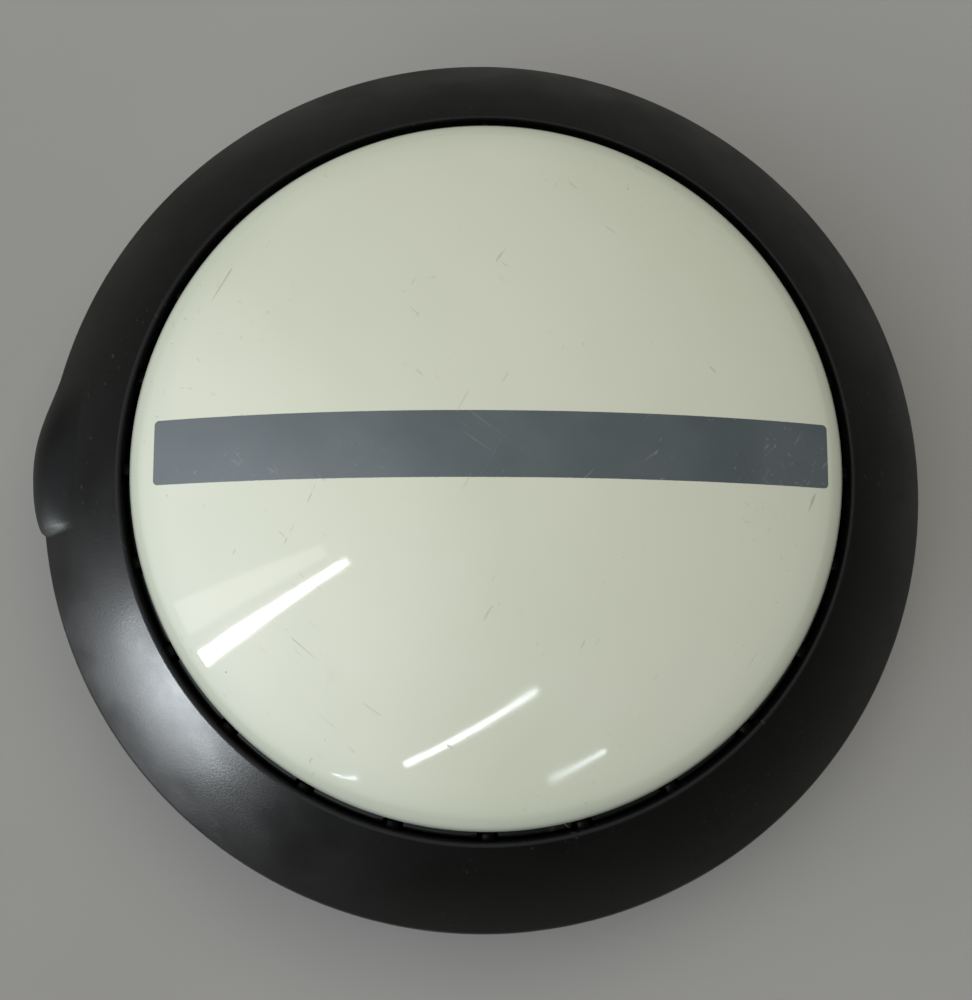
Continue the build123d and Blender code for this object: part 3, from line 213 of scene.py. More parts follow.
def dome_section(inset, crown_points, shoulder_points):
    """Half section of the dome, moved in by an inset, and the height where its side begins.

    An arc of the crown's sphere, then the shoulder's arc to upright. The shoulder's middle is
    one shoulder inside the side and one shoulder inside the sphere.
    """
    apex, crown, shoulder = APEX - inset, CROWN - inset, SHOULDER - inset
    middle_radius = DOME_RADIUS - inset - shoulder
    reach = crown - shoulder
    tilt = np.degrees(np.arcsin(middle_radius / reach))
    middle = (middle_radius, apex - crown + np.sqrt(reach ** 2 - middle_radius ** 2))
    top = arc((0, apex - crown), crown, 0, tilt, crown_points)
    return np.concatenate([top, arc(middle, shoulder, tilt, 90, shoulder_points)]), middle[1]


def turned(section, azimuths):
    """Carry a half section of (radius, height) round the upright axis: (r cos a, r sin a, z)."""
    radius, height = section[..., 0], section[..., 1]
    a = azimuths[:, None]
    return np.stack([radius * np.cos(a), radius * np.sin(a), height], axis=-1)[None]


def make_radome():
    """The radome: its section turned round, with the ledge pulled in at each notch."""
    outer, side_top = dome_section(0, 60, 16)
    inner, inner_top = dome_section(DOME_WALL, 40, 12)
    side, bore, ledge = DOME_RADIUS, DOME_RADIUS - DOME_WALL, LEDGE_RADIUS
    ledge_low, low, turn = LEDGE_TOP - LEDGE_THICK, DOME_LOW.z, LEDGE_ROUND
    section = np.concatenate([
        outer,
        line((side, side_top), (side, LEDGE_TOP + turn), 6),
        line((side, LEDGE_TOP + turn), (side + turn, LEDGE_TOP), 2),
        line((side + turn, LEDGE_TOP), (ledge - turn, LEDGE_TOP), 3),
        arc((ledge - turn, LEDGE_TOP - turn), turn, 0, 90, 4),
        line((ledge, LEDGE_TOP - turn), (ledge, ledge_low), 2),
        line((ledge, ledge_low), (side, ledge_low), 3),
        line((side, ledge_low), (side, low), 5),
        line((side, low), (bore, low), 2),
        line((bore, low), (bore, inner_top), 6),
        inner[::-1],
    ])
    pitch = 2 * np.pi / PITCHES
    half_notch = NOTCH_WIDTH / 2 / DOME_RADIUS
    past_notch = half_notch + NOTCH_BLEND / DOME_RADIUS
    steps = np.concatenate([
        np.linspace(-half_notch, half_notch, 5),
        np.linspace(past_notch, pitch - past_notch, 13),
    ])
    azimuths = (np.arange(PITCHES)[:, None] * pitch + steps).ravel()
    in_notch = np.tile(np.arange(len(steps)) < 5, PITCHES)[:, None]
    points = np.broadcast_to(section, (len(azimuths), *section.shape)).copy()
    radius = points[..., 0]
    points[..., 0] = np.where(in_notch, np.minimum(radius, NOTCH_FLOOR), radius)
    mesh = sheet_mesh("radome_shell", turned(points, azimuths), wrap_rows=True)
    piece = add_piece("radome_shell", mesh)
    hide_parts("radome")
    return piece


def hump_share(azimuths):
    """How much of the hump stands at each azimuth, from 0 to 1.

    Towards the longer side it falls as (1 - x * x) ** 2, and towards the shorter side as the
    quarter ellipse sqrt(1 - x * x), with x the angle from the crest over that side's spread.
    """
    turn = (np.degrees(azimuths) - HUMP_AZIMUTH + 180) % 360 - 180
    long_side = np.clip(-turn / HUMP_LONG, 0, 1)
    short_side = np.clip(turn / HUMP_SHORT, 0, 1)
    return np.where(turn < 0, (1 - long_side ** 2) ** 2, np.sqrt(1 - short_side ** 2))


def make_skirt():
    """The skirt: a closed section turned round, with the hump's swell added to its cone.

    Along the cone the swell grows with q, the share of the way from the hump's start to the
    edge: outwards by reach * q ** 1.5, and upwards by lift * q ** 1.2 * (1 - q ** 4).
    """
    lip_middle = np.array([LIP_RADIUS + LIP_ROUND, LIP_TOP - LIP_ROUND])
    edge_top = EDGE_LOW + EDGE_LAND
    run = np.array([EDGE_RADIUS, edge_top]) - lip_middle
    square = np.arctan2(-run[1], run[0])
    normal = np.array([np.sin(square), np.cos(square)])
    cone_start = lip_middle + LIP_ROUND * normal
    cone = bowed(cone_start, (EDGE_RADIUS, edge_top + EDGE_ROUND), SKIRT_BULGE, CONE_POINTS)
    outside = LIP_RADIUS + LIP_WALL
    under = cone[UNDER_START:] - SKIRT_WALL * normal
    under[:, 0] = np.maximum(under[:, 0], outside)
    grown = (cone[:, 0] - HUMP_START) / (EDGE_RADIUS - HUMP_START)
    edge_middle = (EDGE_RADIUS - EDGE_ROUND, EDGE_LOW + EDGE_ROUND)
    parts = [
        (arc(lip_middle, LIP_ROUND, -90, np.degrees(square), 18), 0.0),
        (cone, grown),
        (arc(edge_middle, EDGE_ROUND, 90, 180, 6), 1.0),
        (line((edge_middle[0], EDGE_LOW), (EDGE_RADIUS - EDGE_WIDTH, EDGE_LOW), 4), 1.0),
        (under[::-1], grown[UNDER_START:][::-1]),
        (line((outside, FOOT_HIGH), (outside, FOOT_LOW), 3), 0.0),
        (line((outside, FOOT_LOW), (FOOT_RADIUS, FOOT_LOW), 4), 0.0),
        (line((FOOT_RADIUS, FOOT_LOW), (FOOT_RADIUS, FOOT_HIGH), 2), 0.0),
        (line((FOOT_RADIUS, FOOT_HIGH), (LIP_RADIUS, FOOT_HIGH), 4), 0.0),
        (line((LIP_RADIUS, FOOT_HIGH), (LIP_RADIUS, lip_middle[1]), 6), 0.0),
    ]
    section = np.concatenate([points for points, _ in parts])
    q = np.clip(np.concatenate([np.broadcast_to(share, len(points)) for points, share in parts]), 0, 1)
    azimuths = np.linspace(0, 2 * np.pi, SKIRT_STEPS, endpoint=False)
    standing = hump_share(azimuths)[:, None]
    points = np.broadcast_to(section, (len(azimuths), *section.shape)).copy()
    points[..., 0] += standing * HUMP_REACH * q ** 1.5
    points[..., 1] += standing * HUMP_LIFT * q ** 1.2 * (1 - q ** 4)
    mesh = sheet_mesh("skirt_shell", turned(points, azimuths), wrap_rows=True, wrap_columns=True)
    piece = add_piece("skirt_shell", mesh)
    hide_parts("skirt_ring")
    return piece


def bevelled(outline, middle, low, high, bevel, shrink):
    """A block as rings of its outline, each middle + grow * (outline - middle), from low to high.

    The outline is drawn in by the shrink at both ends, and closed at its middle there. The
    block's two directions across and its depth come back as three arrays.
    """
    levels = [(low, 0), (low, shrink), (low + bevel, 1), (high - bevel, 1), (high, shrink), (high, 0)]
    across = outline - middle
    rings = [np.c_[middle + grow * across, np.full(len(outline), depth)] for depth, grow in levels]
    return np.moveaxis(np.stack(rings), -1, 0)


def set_round(name, out, side, height, azimuths):
    """Copies of a block set round the axis: (out cos a - side sin a, out sin a + side cos a, z)."""
    a = azimuths[:, None, None]
    x = out * np.cos(a) - side * np.sin(a)
    y = out * np.sin(a) + side * np.cos(a)
    points = np.stack([x, y, np.broadcast_to(height, x.shape)], axis=-1)
    return sheet_mesh(name, points, wrap_columns=True)


def make_ribs():
    """Ribs inside the lip: round-nosed outlines carried up from the foot."""
    half = RIB_WIDTH / 2
    turn = np.radians(np.linspace(90, 270, 13))
    nose = np.stack([RIB_NOSE + RIB_BULGE * (1 + np.cos(turn)), half * np.sin(turn)], axis=1)
    root = LIP_RADIUS + LIP_WALL / 2
    outline = np.concatenate([nose, [(root, -half), (root, half)]])
    middle = outline.mean(axis=0)
    shrink = 1 - RIB_BEVEL / np.abs(outline - middle).max()
    out, side, height = bevelled(outline, middle, FOOT_HIGH, RIB_TOP, RIB_BEVEL, shrink)
    azimuths = np.arange(PITCHES) * 2 * np.pi / PITCHES
    piece = add_piece("skirt_ribs", set_round("skirt_ribs", out, side, height, azimuths))
    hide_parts("skirt_ring")
    return piece


def slab_mesh(name, outline, middle, thick, azimuths):
    """Upright slabs: an outline of (radius, height) given a thickness, closed at its middle."""
    out, height, side = bevelled(outline, middle, -thick / 2, thick / 2, SLAB_BEVEL, SLAB_SHRINK)
    return set_round(name, out, side, height, azimuths)


def make_gussets():
    """Gussets under the cone: three-cornered slabs between the lip's wall and the cone."""
    wall = LIP_RADIUS + LIP_WALL / 2
    slope_out, slope_high = GUSSET_SLOPE
    outline = np.array([
        (wall, FOOT_LOW), (wall, GUSSET_HEAD), (wall + slope_out, slope_high), (GUSSET_TIP, FOOT_LOW),
    ])
    azimuths = np.radians(SHELF_AZIMUTH + 360 * (np.arange(GUSSETS) + 0.5) / GUSSETS)
    mesh = slab_mesh("skirt_gussets", outline, outline.mean(axis=0), GUSSET_THICK, azimuths)
    piece = add_piece("skirt_gussets", mesh)
    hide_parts("skirt_ring")
    return piece


def make_aerial_shelf():
    """The shelf that carries the radio aerial: a wide slab bent like an L, hung from the foot."""
    low, top = FOOT_LOW - SHELF_DROP, FOOT_LOW + SHELF_BITE
    wall = LIP_RADIUS + LIP_WALL
    inside, tip = wall - SHELF_TAB, wall + SHELF_REACH
    upper = low + SHELF_THICK
    outline = np.array([(inside, low), (inside, top), (wall, top), (wall, upper), (tip, upper), (tip, low)])
    corner = np.array([inside + SHELF_TAB / 2, low + SHELF_THICK / 2])
    mesh = slab_mesh("aerial_shelf", outline, corner, SHELF_WIDTH, np.radians([SHELF_AZIMUTH]))
    piece = add_piece("aerial_shelf", mesh)
    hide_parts("skirt_ring")
    return piece


# ---------------------------------------------------------------- finishes

def add_node(tree, kind, inputs=(), **settings):
    """Add a node, set it up, and link or set its inputs, given as (socket, value) pairs."""
    made = tree.nodes.new("ShaderNode" + kind)
    for key, value in settings.items():
        setattr(made, key, value)
    for socket, value in inputs:
        if isinstance(value, bpy.types.NodeSocket):
            tree.links.new(value, made.inputs[socket])
        else:
            made.inputs[socket].default_value = value
    return made


class Finish:
    """A material being built: its nodes, its shader and the piece's own coordinates."""

    def __init__(self, name, colour, roughness, metallic=0.0, specular=0.5):
        self.material = bpy.data.materials.new(name)
        self.material.use_nodes = True
        self.tree = self.material.node_tree
        self.shader = self.tree.nodes["Principled BSDF"]
        self.shader.inputs["Base Color"].default_value = (*colour, 1)
        self.shader.inputs["Roughness"].default_value = roughness
        self.shader.inputs["Metallic"].default_value = metallic
        self.shader.inputs["Specular IOR Level"].default_value = specular
        self.place = add_node(self.tree, "TexCoord").outputs["Object"]

    def axes(self):
        """The piece's coordinates, split into X, Y and Z."""
        return add_node(self.tree, "SeparateXYZ", [("Vector", self.place)]).outputs

    def drawn_out(self, stretch, turn=(0, 0, 0)):
        """The piece's coordinates, turned and then divided by a stretch along each axis."""
        inputs = [("Vector", self.place), ("Scale", stretch), ("Rotation", turn)]
        return add_node(self.tree, "Mapping", inputs, vector_type="TEXTURE").outputs["Vector"]

    def noise(self, scale, detail=3.0, roughness=0.5, place=None):
        """Cloudy noise from 0 to 1, with scale waves to the metre."""
        inputs = [("Vector", place or self.place), ("Scale", scale)]
        inputs += [("Detail", detail), ("Roughness", roughness)]
        return add_node(self.tree, "TexNoise", inputs).outputs["Fac"]

    def cells(self, scale, feature="F1"):
        """Distance from the middle (or the edge) of scattered cells, scale cells to the metre."""
        inputs = [("Vector", self.place), ("Scale", scale)]
        return add_node(self.tree, "TexVoronoi", inputs, feature=feature).outputs["Distance"]

    def span(self, source, low, high, out_low=0.0, out_high=1.0):
        """Spread a value from one range to another, held at both ends."""
        inputs = [("Value", source), ("From Min", low), ("From Max", high)]
        inputs += [("To Min", out_low), ("To Max", out_high)]
        made = add_node(self.tree, "MapRange", inputs, interpolation_type="SMOOTHSTEP")
        return made.outputs["Result"]

    def dots(self, scale, core, edge):
        """Scattered dots, 1 inside the core and 0 past the edge, as shares of a cell."""
        return self.span(self.cells(scale), core, edge, 1.0, 0.0)

    def patches(self, scale, low, high, most=1.0):
        """Soft patches where slow noise passes from low to high."""
        return self.span(self.noise(scale, 1.0), low, high, 0.0, most)

    def math(self, operation, a, b):
        """One sum of two values."""
        return add_node(self.tree, "Math", [(0, a), (1, b)], operation=operation).outputs["Value"]

    def times(self, a, b):
        """The product of two values."""
        return self.math("MULTIPLY", a, b)

    def vectors(self, operation, a, b=None, output="Vector"):
        """One sum of one or two vectors."""
        inputs = [(0, a)] if b is None else [(0, a), (1, b)]
        return add_node(self.tree, "VectorMath", inputs, operation=operation).outputs[output]

    def mix(self, share, a, b):
        """Colour a turned into colour b by a share."""
        def colour(value):
            return value if isinstance(value, bpy.types.NodeSocket) else (*value, 1)
        inputs = [(0, share), (6, colour(a)), (7, colour(b))]
        return add_node(self.tree, "Mix", inputs, data_type="RGBA").outputs[2]

    def colour(self, source):
        """Use a colour for the whole finish."""
        self.tree.links.new(source, self.shader.inputs["Base Color"])

    def roughness(self, source):
        """Use a value as the finish's roughness."""
        self.tree.links.new(source, self.shader.inputs["Roughness"])

    def bump(self, height, distance, strength=1.0):
        """Raise the surface by a height, in metres at a height of 1."""
        inputs = [("Height", height), ("Distance", distance), ("Strength", strength)]
        normal = self.shader.inputs["Normal"]
        if normal.is_linked:
            inputs.append(("Normal", normal.links[0].from_socket))
        self.tree.links.new(add_node(self.tree, "Bump", inputs).outputs["Normal"], normal)


def scratches(finish, scale, turn, threshold, gathering):
    """Thin long marks: noise drawn out along one direction, cut at a threshold, in some places."""
    drawn = finish.drawn_out((1, 40, 1), (0, 0, turn))
    lines = finish.span(finish.noise(scale, 2.0, 0.6, drawn), threshold, threshold + 0.02)
    places = finish.span(finish.noise(gathering, 2.0), 0.52, 0.62)
    return finish.times(lines, places)


def aged_cream_and_gap_shade(f, axes, out, scuffs):
    """The dome's colour: blotched cream, greener at the rim, and black painted shade down in the gap under
    the skirt's lip.

    Specks, spots, brushed marks and scuffs lie on it.
    """
    speck, spot = (0.22, 0.20, 0.16), (0.20, 0.19, 0.14)
    brush, scuff = (0.34, 0.34, 0.27), (0.38, 0.37, 0.31)
    rim_green, gap_shade = (0.60, 0.645, 0.52), (0.012, 0.014, 0.012)
    blotches = f.span(f.noise(16.0, 3.0), 0.35, 0.65)
    cream = f.mix(blotches, (0.735, 0.745, 0.615), (0.705, 0.720, 0.580))
    rim = f.span(out, DOME_RADIUS * 0.86, DOME_RADIUS * 0.995)
    cream = f.mix(f.times(rim, 0.6), cream, rim_green)
    # Painted shade: below the lip the dome's side and ledge are drawn black, standing in for the gap's
    # shadow.
    painted_gap_shade_share = f.span(axes["Z"], LEDGE_TOP + 0.5 * MM, LEDGE_TOP + 4.0 * MM, 1.0, 0.0)
    cream = f.mix(painted_gap_shade_share, cream, gap_shade)
    specks = f.times(f.dots(420.0, 0.035, 0.055), f.patches(60.0, 0.60, 0.68))
    cream = f.mix(f.times(specks, 0.65), cream, speck)
    spots = f.times(f.dots(110.0, 0.020, 0.040), f.patches(26.0, 0.52, 0.58))
    cream = f.mix(f.times(spots, 0.6), cream, spot)
    brushed = f.span(f.noise(95.0, 3.0, 0.6, f.drawn_out((1, 5, 1), (0, 0, -0.45))), 0.66, 0.80)
    brushed = f.times(brushed, f.patches(17.0, 0.58, 0.66))
    cream = f.mix(f.times(brushed, 0.35), cream, brush)
    return f.mix(f.times(scuffs, 0.55), cream, scuff)


def band_share(f, axes, flat):
    """1 inside the printed band and 0 outside: a rectangle with round corners and chips.

    The distance past the inner rectangle, max(|place - middle| - inner, 0), is held under the
    corner's radius, give or take a ragged edge.
    """
    shifted = f.vectors("SUBTRACT", flat, (*BAND_MIDDLE, 0))
    away = f.vectors("ABSOLUTE", shifted)
    inner = (BAND_HALF[0] - BAND_CORNER, BAND_HALF[1] - BAND_CORNER, 0)
    past = f.vectors("MAXIMUM", f.vectors("SUBTRACT", away, inner), (0, 0, 0))
    edge = f.vectors("LENGTH", past, output="Value")
    ragged = f.times(f.math("SUBTRACT", f.noise(2500.0, 2.0), 0.5), BAND_RAGGED)
    edge = f.math("ADD", edge, ragged)
    band = f.span(edge, BAND_CORNER - BAND_SOFT, BAND_CORNER + BAND_SOFT, 1.0, 0.0)
    band = f.times(band, f.span(axes["Z"], BAND_LOW, BAND_LOW + BAND_FADE))
    chips = f.times(f.dots(300.0, 0.05, 0.08), f.patches(45.0, 0.58, 0.64))
    return f.times(band, f.math("SUBTRACT", 1.0, chips))


def worn_ink(f):
    """The printed band's grey, uneven and rubbed lighter along scratches."""
    lighter_tone = (0.30, 0.32, 0.32)
    one_way, other_way = scratches(f, 1300.0, 0.95, 0.66, 30.0), scratches(f, 1100.0, -0.8, 0.67, 26.0)
    lightened = f.math("MAXIMUM", one_way, other_way)
    ink = f.mix(f.span(f.noise(30.0, 4.0), 0.3, 0.7), (0.088, 0.106, 0.115), (0.118, 0.138, 0.148))
    return f.mix(f.times(lightened, 0.35), ink, lighter_tone)


def radome_finish():
    """Aged glossy cream plastic with a printed grey band, scuffs, specks, fine scratches and black painted
    shade low in the gap.
    """
    f = Finish("radome_gloss", (0.72, 0.73, 0.63), 0.10, specular=0.9)
    axes = f.axes()
    flat = add_node(f.tree, "CombineXYZ", [("X", axes["X"]), ("Y", axes["Y"])]).outputs["Vector"]
    out = f.vectors("LENGTH", flat, output="Value")
    one_way, other_way = scratches(f, 900.0, 0.9, 0.70, 38.0), scratches(f, 700.0, -0.5, 0.71, 31.0)
    scuffs = f.math("MAXIMUM", one_way, other_way)
    band = band_share(f, axes, flat)
    f.colour(f.mix(band, aged_cream_and_gap_shade(f, axes, out, scuffs), worn_ink(f)))
    smears = f.noise(22.0, 4.0, 0.6, f.drawn_out((1, 2.5, 1), (0, 0, 0.6)))
    smears = f.span(smears, 0.4, 0.75, 0.045, 0.10)
    worn = f.math("ADD", smears, f.times(scuffs, 0.3))
    f.roughness(f.math("ADD", worn, f.times(band, 0.16)))
    f.bump(f.math("SUBTRACT", 1.0, scuffs), 0.02 * MM)
    f.bump(band, 0.012 * MM)
    f.bump(f.noise(120.0, 2.0), 0.006 * MM)
    return f.material


def satin_black(name, tone, roughness):
    """Black moulded plastic: fine grain, uneven sheen, dust, hairlines and a painted highlight along the
    lip's top.
    """
    # The middle tone is the colour of the painted highlight along the lip.
    dust_tone, lighter_tone, hair_tone = (0.20, 0.19, 0.17), (0.026, 0.027, 0.029), (0.10, 0.10, 0.10)
    f = Finish(name, tone, roughness, specular=0.11)
    cloud = f.span(f.noise(28.0, 4.0), 0.35, 0.70)
    base = f.mix(f.times(cloud, 0.5), tone, tuple(1.4 * c + 0.001 for c in tone))
    dust = f.times(f.dots(900.0, 0.03, 0.06), f.patches(70.0, 0.55, 0.65, 0.5))
    base = f.mix(dust, base, dust_tone)
    # Painted highlight: the top of the lip is drawn lighter, standing in for the highlight line on its
    # rounded edge.
    lightened = f.span(f.axes()["Z"], LIP_TOP - 0.30 * MM, LIP_TOP, 0.0, 0.6)
    base = f.mix(lightened, base, lighter_tone)
    hairs = scratches(f, 800.0, 0.7, 0.68, 35.0)
    f.colour(f.mix(f.times(hairs, 0.25), base, hair_tone))
    f.roughness(f.span(f.noise(45.0, 5.0), 0.3, 0.7, roughness - 0.05, roughness + 0.06))
    f.bump(f.noise(1400.0, 3.0, 0.6), 0.03 * MM)
    return f.material


def eroded_plastic(name, tone, roughness=0.55, grain=1500.0, depth=0.06):
    """Moulded plastic with a spark-eroded texture."""
    f = Finish(name, tone, roughness)
    cloud = f.span(f.noise(35.0, 3.0), 0.3, 0.7)
    f.colour(f.mix(f.times(cloud, 0.6), tone, tuple(1.35 * c + 0.004 for c in tone)))
    f.roughness(f.span(f.noise(60.0, 4.0), 0.3, 0.7, roughness - 0.06, roughness + 0.08))
    f.bump(f.cells(grain), depth * MM, 0.8)
    f.bump(f.noise(grain * 0.6, 4.0), depth * MM)
    return f.material


def worked_metal(name, tone, roughness, lines, stretch=(1, 50, 1)):
    """Bare or plated metal with fine tool lines and a slightly uneven tone."""
    f = Finish(name, tone, roughness, metallic=1.0)
    cloud = f.span(f.noise(90.0, 3.0), 0.3, 0.7)
    f.colour(f.mix(f.times(cloud, 0.5), tone, tuple(0.8 * c for c in tone)))
    drawn = f.noise(lines, 3.0, 0.6, f.drawn_out(stretch))
    f.roughness(f.span(drawn, 0.3, 0.7, roughness - 0.07, roughness + 0.1))
    f.bump(drawn, 0.01 * MM)
    return f.material


def soft_rubber(name, tone):
    """Matt rubber with a bloom of dust."""
    f = Finish(name, tone, 0.75, specular=0.3)
    bloom = f.span(f.noise(60.0, 4.0), 0.4, 0.75)
    f.colour(f.mix(f.times(bloom, 0.4), tone, tuple(1.8 * c + 0.01 for c in tone)))
    f.roughness(f.span(f.noise(200.0, 3.0), 0.3, 0.7, 0.65, 0.85))
    f.bump(f.noise(1600.0, 3.0), 0.03 * MM)
    return f.material


def circuit_board(name):
    """Green solder mask over tracks, with tinned pads."""
    bare, raised, tinned = (0.010, 0.095, 0.038), (0.022, 0.16, 0.065), (0.55, 0.55, 0.52)
    f = Finish(name, (0.012, 0.11, 0.045), 0.35)
    tracks = f.span(f.cells(260.0, "DISTANCE_TO_EDGE"), 0.04, 0.08, 1.0, 0.0)
    mask = f.mix(f.times(tracks, 0.6), bare, raised)
    pads = f.times(f.dots(520.0, 0.16, 0.19), f.patches(80.0, 0.52, 0.56))
    f.colour(f.mix(pads, mask, tinned))
    f.roughness(f.span(f.noise(300.0, 2.0), 0.3, 0.7, 0.28, 0.42))
    f.bump(f.math("ADD", tracks, pads), 0.03 * MM)
    return f.material


def clear_light(name):
    """Frosted clear plastic."""
    f = Finish(name, (0.80, 0.84, 0.82), 0.35)
    f.shader.inputs["Transmission Weight"].default_value = 0.6
    f.colour(f.mix(f.span(f.noise(400.0, 2.0), 0.3, 0.7), (0.78, 0.82, 0.80), (0.84, 0.86, 0.85)))
    f.roughness(f.span(f.noise(900.0, 2.0), 0.3, 0.7, 0.28, 0.45))
    f.bump(f.noise(1500.0, 2.0), 0.01 * MM)
    return f.material


def ceramic(name):
    """Unglazed pale ceramic."""
    f = Finish(name, (0.62, 0.59, 0.52), 0.6)
    f.colour(f.mix(f.span(f.noise(700.0, 5.0), 0.4, 0.7), (0.64, 0.61, 0.54), (0.52, 0.49, 0.43)))
    f.roughness(f.span(f.noise(500.0, 3.0), 0.3, 0.7, 0.5, 0.75))
    f.bump(f.noise(2200.0, 4.0), 0.02 * MM)
    return f.material


def make_finishes():
    """One finish for each slot of the record."""
    steel = worked_metal("machined_steel", (0.56, 0.56, 0.55), 0.32, 900.0)
    return {
        "radome_plastic": radome_finish(),
        "skirt_plastic": satin_black("skirt_satin", (0.0034, 0.0030, 0.0026), 0.35),
        "housing_plastic": eroded_plastic("housing_texture", (0.021, 0.022, 0.023)),
        "door_plastic": eroded_plastic("door_texture", (0.026, 0.027, 0.028), 0.5, 1700.0),
        "bay_plastic": eroded_plastic("bay_black", (0.014, 0.014, 0.014)),
        "battery_case": eroded_plastic("battery_case", (0.035, 0.036, 0.040), 0.5),
        "panel_plastic": eroded_plastic("key_panel_grey", (0.10, 0.105, 0.11), 0.5, 2200.0, 0.03),
        "fitting_plastic": eroded_plastic("vent_black", (0.012, 0.012, 0.012), 0.5),
        "insert_plastic": eroded_plastic("socket_insert_black", (0.015, 0.015, 0.015), 0.45),
        "core_plastic": eroded_plastic("socket_core_white", (0.68, 0.68, 0.65), 0.4, 2500.0, 0.01),
        "panel_aluminium": worked_metal("socket_panel_anodised", (0.17, 0.175, 0.18), 0.42, 500.0),
        "plate_aluminium": worked_metal("plate_aluminium", (0.70, 0.71, 0.72), 0.36, 400.0),
        "socket_nickel": worked_metal("satin_nickel", (0.62, 0.60, 0.56), 0.26, 800.0),
        "screw_steel": steel,
        "pin_steel": steel,
        "shield_tin": worked_metal("tinned_shield", (0.64, 0.64, 0.62), 0.34, 700.0),
        "insert_brass": worked_metal("turned_brass", (0.70, 0.50, 0.21), 0.28, 900.0, (20, 20, 1)),
        "standoff_brass": worked_metal("standoff_brass", (0.72, 0.55, 0.26), 0.3, 900.0),
        "contact_gold": worked_metal("gold_plate", (0.83, 0.60, 0.24), 0.25, 1200.0),
        "patch_copper": worked_metal("patch_copper", (0.76, 0.40, 0.26), 0.35, 500.0),
        "patch_ceramic": ceramic("patch_ceramic"),
        "seal_rubber": soft_rubber("seal_rubber", (0.014, 0.014, 0.014)),
        "cap_rubber": soft_rubber("cap_rubber", (0.020, 0.020, 0.021)),
        "key_rubber": soft_rubber("key_rubber", (0.20, 0.21, 0.21)),
        "lead_jacket": soft_rubber("lead_jacket", (0.012, 0.012, 0.012)),
        "clear_plastic": clear_light("light_pipe_clear"),
        "circuit_board": circuit_board("green_board"),
    }


def dress(finishes):
    """Give every CAD node the finish of its slot in the record."""
    slots = {part["node"]: part["material_slot"] for part in frame["record"]["subparts"]}
    for name, node in NODES.items():
        node.data.materials.clear()
        node.data.materials.append(finishes[slots[name]])


# ---------------------------------------------------------------- studio

def make_camera():
    """A camera above the dome, leaning a little towards the front."""
    data = bpy.data.cameras.new("camera")
    camera = bpy.data.objects.new("camera", data)
    bpy.context.scene.collection.objects.link(camera)
    bpy.context.scene.camera = camera
    data.lens = CAMERA_LENS
    data.clip_start = CAMERA_NEAR
    back = (Vector(CAMERA_PLACE) - Vector(CAMERA_TARGET)).normalized()
    right = Vector((0, 1, 0)).cross(back).normalized()
    turn = Matrix((right, back.cross(right), back)).transposed()
    camera.matrix_world = Matrix.Translation(CAMERA_PLACE) @ turn.to_4x4()


def area_lamp(name, place, turn, size, power, colour):
    """A rectangular lamp, size = (width, height) in metres, that the camera doesn't see."""
    data = bpy.data.lights.new(name, "AREA")
    data.shape = "RECTANGLE"
    data.size, data.size_y = size
    data.energy = power
    data.color = colour
    made = bpy.data.objects.new(name, data)
    bpy.context.scene.collection.objects.link(made)
    made.matrix_world = Matrix.Translation(place) @ turn.to_4x4()
    made.visible_camera = False
    return made


def soft_lamp(name, place, target, size, power, colour):
    """A flat soft lamp at a place, facing a target."""
    turn = (Vector(target) - Vector(place)).to_track_quat("-Z", "Y").to_matrix()
    return area_lamp(name, place, turn, size, power, colour)


def tube_lamp(name, start, stop, width, radiance, colour):
    """A long thin lamp between two points, which shows in gloss but doesn't light the object.

    Its long side runs from start to stop, its face looks at the origin, and its power is
    radiance * pi * area.
    """
    start, stop = Vector(start), Vector(stop)
    length = (stop - start).length
    middle = (start + stop) / 2
    along = (stop - start).normalized()
    back = (middle - along * middle.dot(along)).normalized()
    turn = Matrix((along, back.cross(along), back)).transposed()
    power = radiance * np.pi * length * width
    area_lamp(name, middle, turn, (length, width), power, colour).visible_diffuse = False


def make_sky():
    """A soft sky that brightens towards one side: low + lobe * ((d - edge) / (1 - edge)) ** fall,
    with d the cosine of the angle from the bright side's middle."""
    world = bpy.data.worlds.new("studio")
    bpy.context.scene.world = world
    world.use_nodes = True
    tree = world.node_tree
    azimuth, height = np.radians(SKY_AZIMUTH), np.radians(SKY_HEIGHT)
    middle = (np.cos(azimuth) * np.cos(height), np.sin(azimuth) * np.cos(height), np.sin(height))
    way = add_node(tree, "TexCoord").outputs["Generated"]
    cosine = add_node(tree, "VectorMath", [(0, way), (1, middle)], operation="DOT_PRODUCT")
    past_edge = [("Value", cosine.outputs["Value"]), ("From Min", SKY_EDGE), ("From Max", 1.0)]
    share = add_node(tree, "MapRange", past_edge)
    fall = add_node(tree, "Math", [(0, share.outputs["Result"]), (1, SKY_FALL)], operation="POWER")
    lobe = [(0, fall.outputs["Value"]), (1, SKY_LOBE), (2, SKY_LOW)]
    strength = add_node(tree, "Math", lobe, operation="MULTIPLY_ADD").outputs["Value"]
    background = tree.nodes["Background"]
    background.inputs["Color"].default_value = (*SKY_TONE, 1)
    tree.links.new(strength, background.inputs["Strength"])


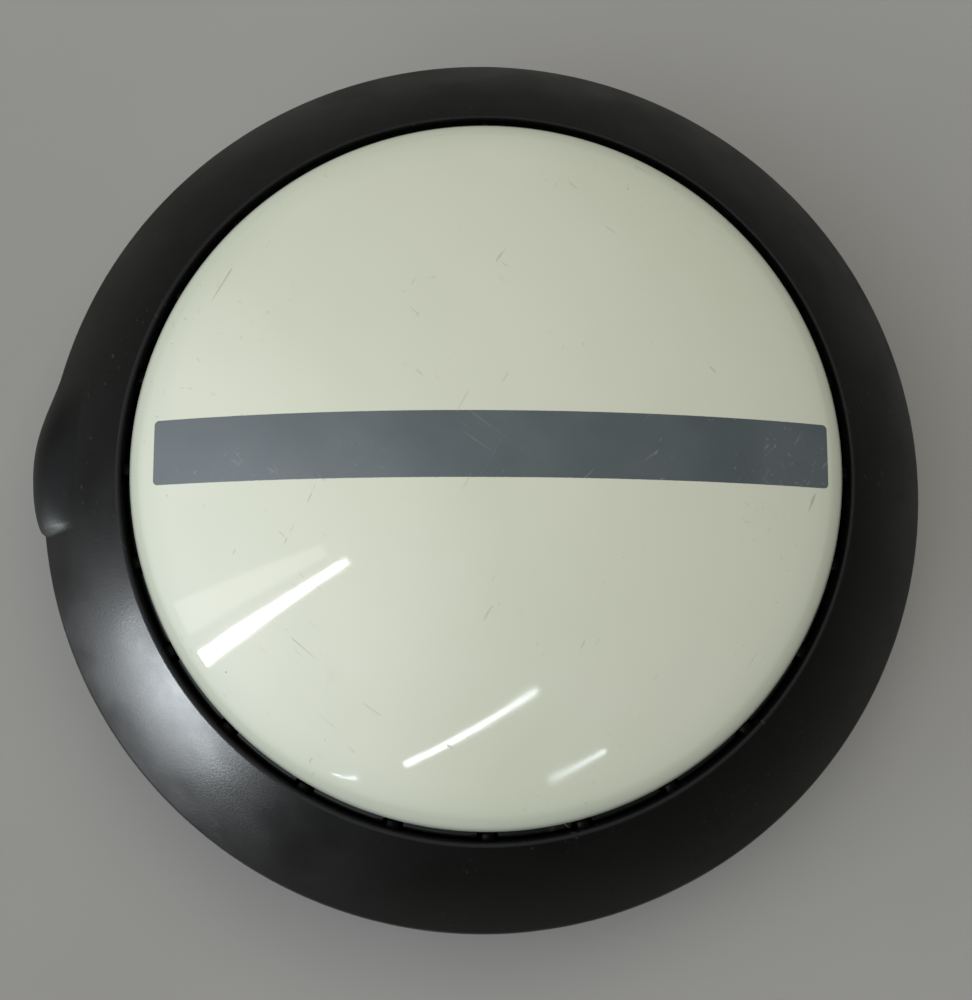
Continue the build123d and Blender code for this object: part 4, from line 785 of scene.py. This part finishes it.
def make_floor():
    """A plain pale floor."""
    mesh = bpy.data.meshes.new("floor")
    reach = FLOOR_REACH
    square = [(-reach, -reach, 0), (reach, -reach, 0), (reach, reach, 0), (-reach, reach, 0)]
    mesh.from_pydata(square, [], [(0, 1, 2, 3)])
    floor = bpy.data.objects.new("floor", mesh)
    bpy.context.scene.collection.objects.link(floor)
    f = Finish("floor_paper", FLOOR_TONE, 0.8, specular=0.2)
    darker = tuple(0.95 * c for c in FLOOR_TONE)
    f.colour(f.mix(f.span(f.noise(6.0, 4.0), 0.3, 0.7), FLOOR_TONE, darker))
    mesh.materials.append(f.material)


def make_studio(side_lit):
    """A pale floor, a soft sky, a soft ceiling, a low side lamp and ceiling tubes.

    The low side lamp puts its gloss on the pieces of one collection only.
    """
    make_sky()
    make_floor()
    ceiling = soft_lamp(
        "ceiling", place=(0.1, 0.4, 1.9), target=(0, 0, 0.06),
        size=(1.6, 1.6), power=18.0, colour=WARM,
    )
    ceiling.visible_glossy = False
    side = soft_lamp(
        "low_side", place=(-0.95, -0.56, 0.035), target=(0, 0, 0.065),
        size=(0.5, 0.06), power=29.0, colour=COOL,
    )
    side.visible_diffuse = False
    side.light_linking.receiver_collection = side_lit
    tube_lamp(
        "tube_near", start=(-0.902, -0.481, 0.688), stop=(-1.195, -0.491, 2.831),
        width=0.058, radiance=14.0, colour=WHITE,
    )
    tube_lamp(
        "tube_near_tray", start=(-0.963, -0.345, 0.685), stop=(-1.383, -0.385, 2.762),
        width=0.12, radiance=0.9, colour=WHITE,
    )
    tube_lamp(
        "tube_middle", start=(-0.393, -1.353, 1.349), stop=(0.403, -1.28, 2.08),
        width=0.035, radiance=12.0, colour=COOLER,
    )
    tube_lamp(
        "tube_far", start=(0.49, -1.83, 1.662), stop=(0.875, -1.631, 1.709),
        width=0.024, radiance=11.0, colour=COOLEST,
    )
    tube_lamp(
        "tube_end", start=(-0.995, -1.786, 1.478), stop=(-0.823, -1.797, 1.567),
        width=0.026, radiance=11.0, colour=COOLEST,
    )


make_camera()
FINISHES = make_finishes()
dress(FINISHES)
radome_shell = make_radome()
radome_shell.data.materials.append(FINISHES["radome_plastic"])
side_lit = bpy.data.collections.new("side_lit")
for skirt_piece in (make_skirt(), make_ribs(), make_gussets(), make_aerial_shelf()):
    skirt_piece.data.materials.append(FINISHES["skirt_plastic"])
    side_lit.objects.link(skirt_piece)
make_studio(side_lit)
bpy.context.scene.view_settings.view_transform = "Standard"
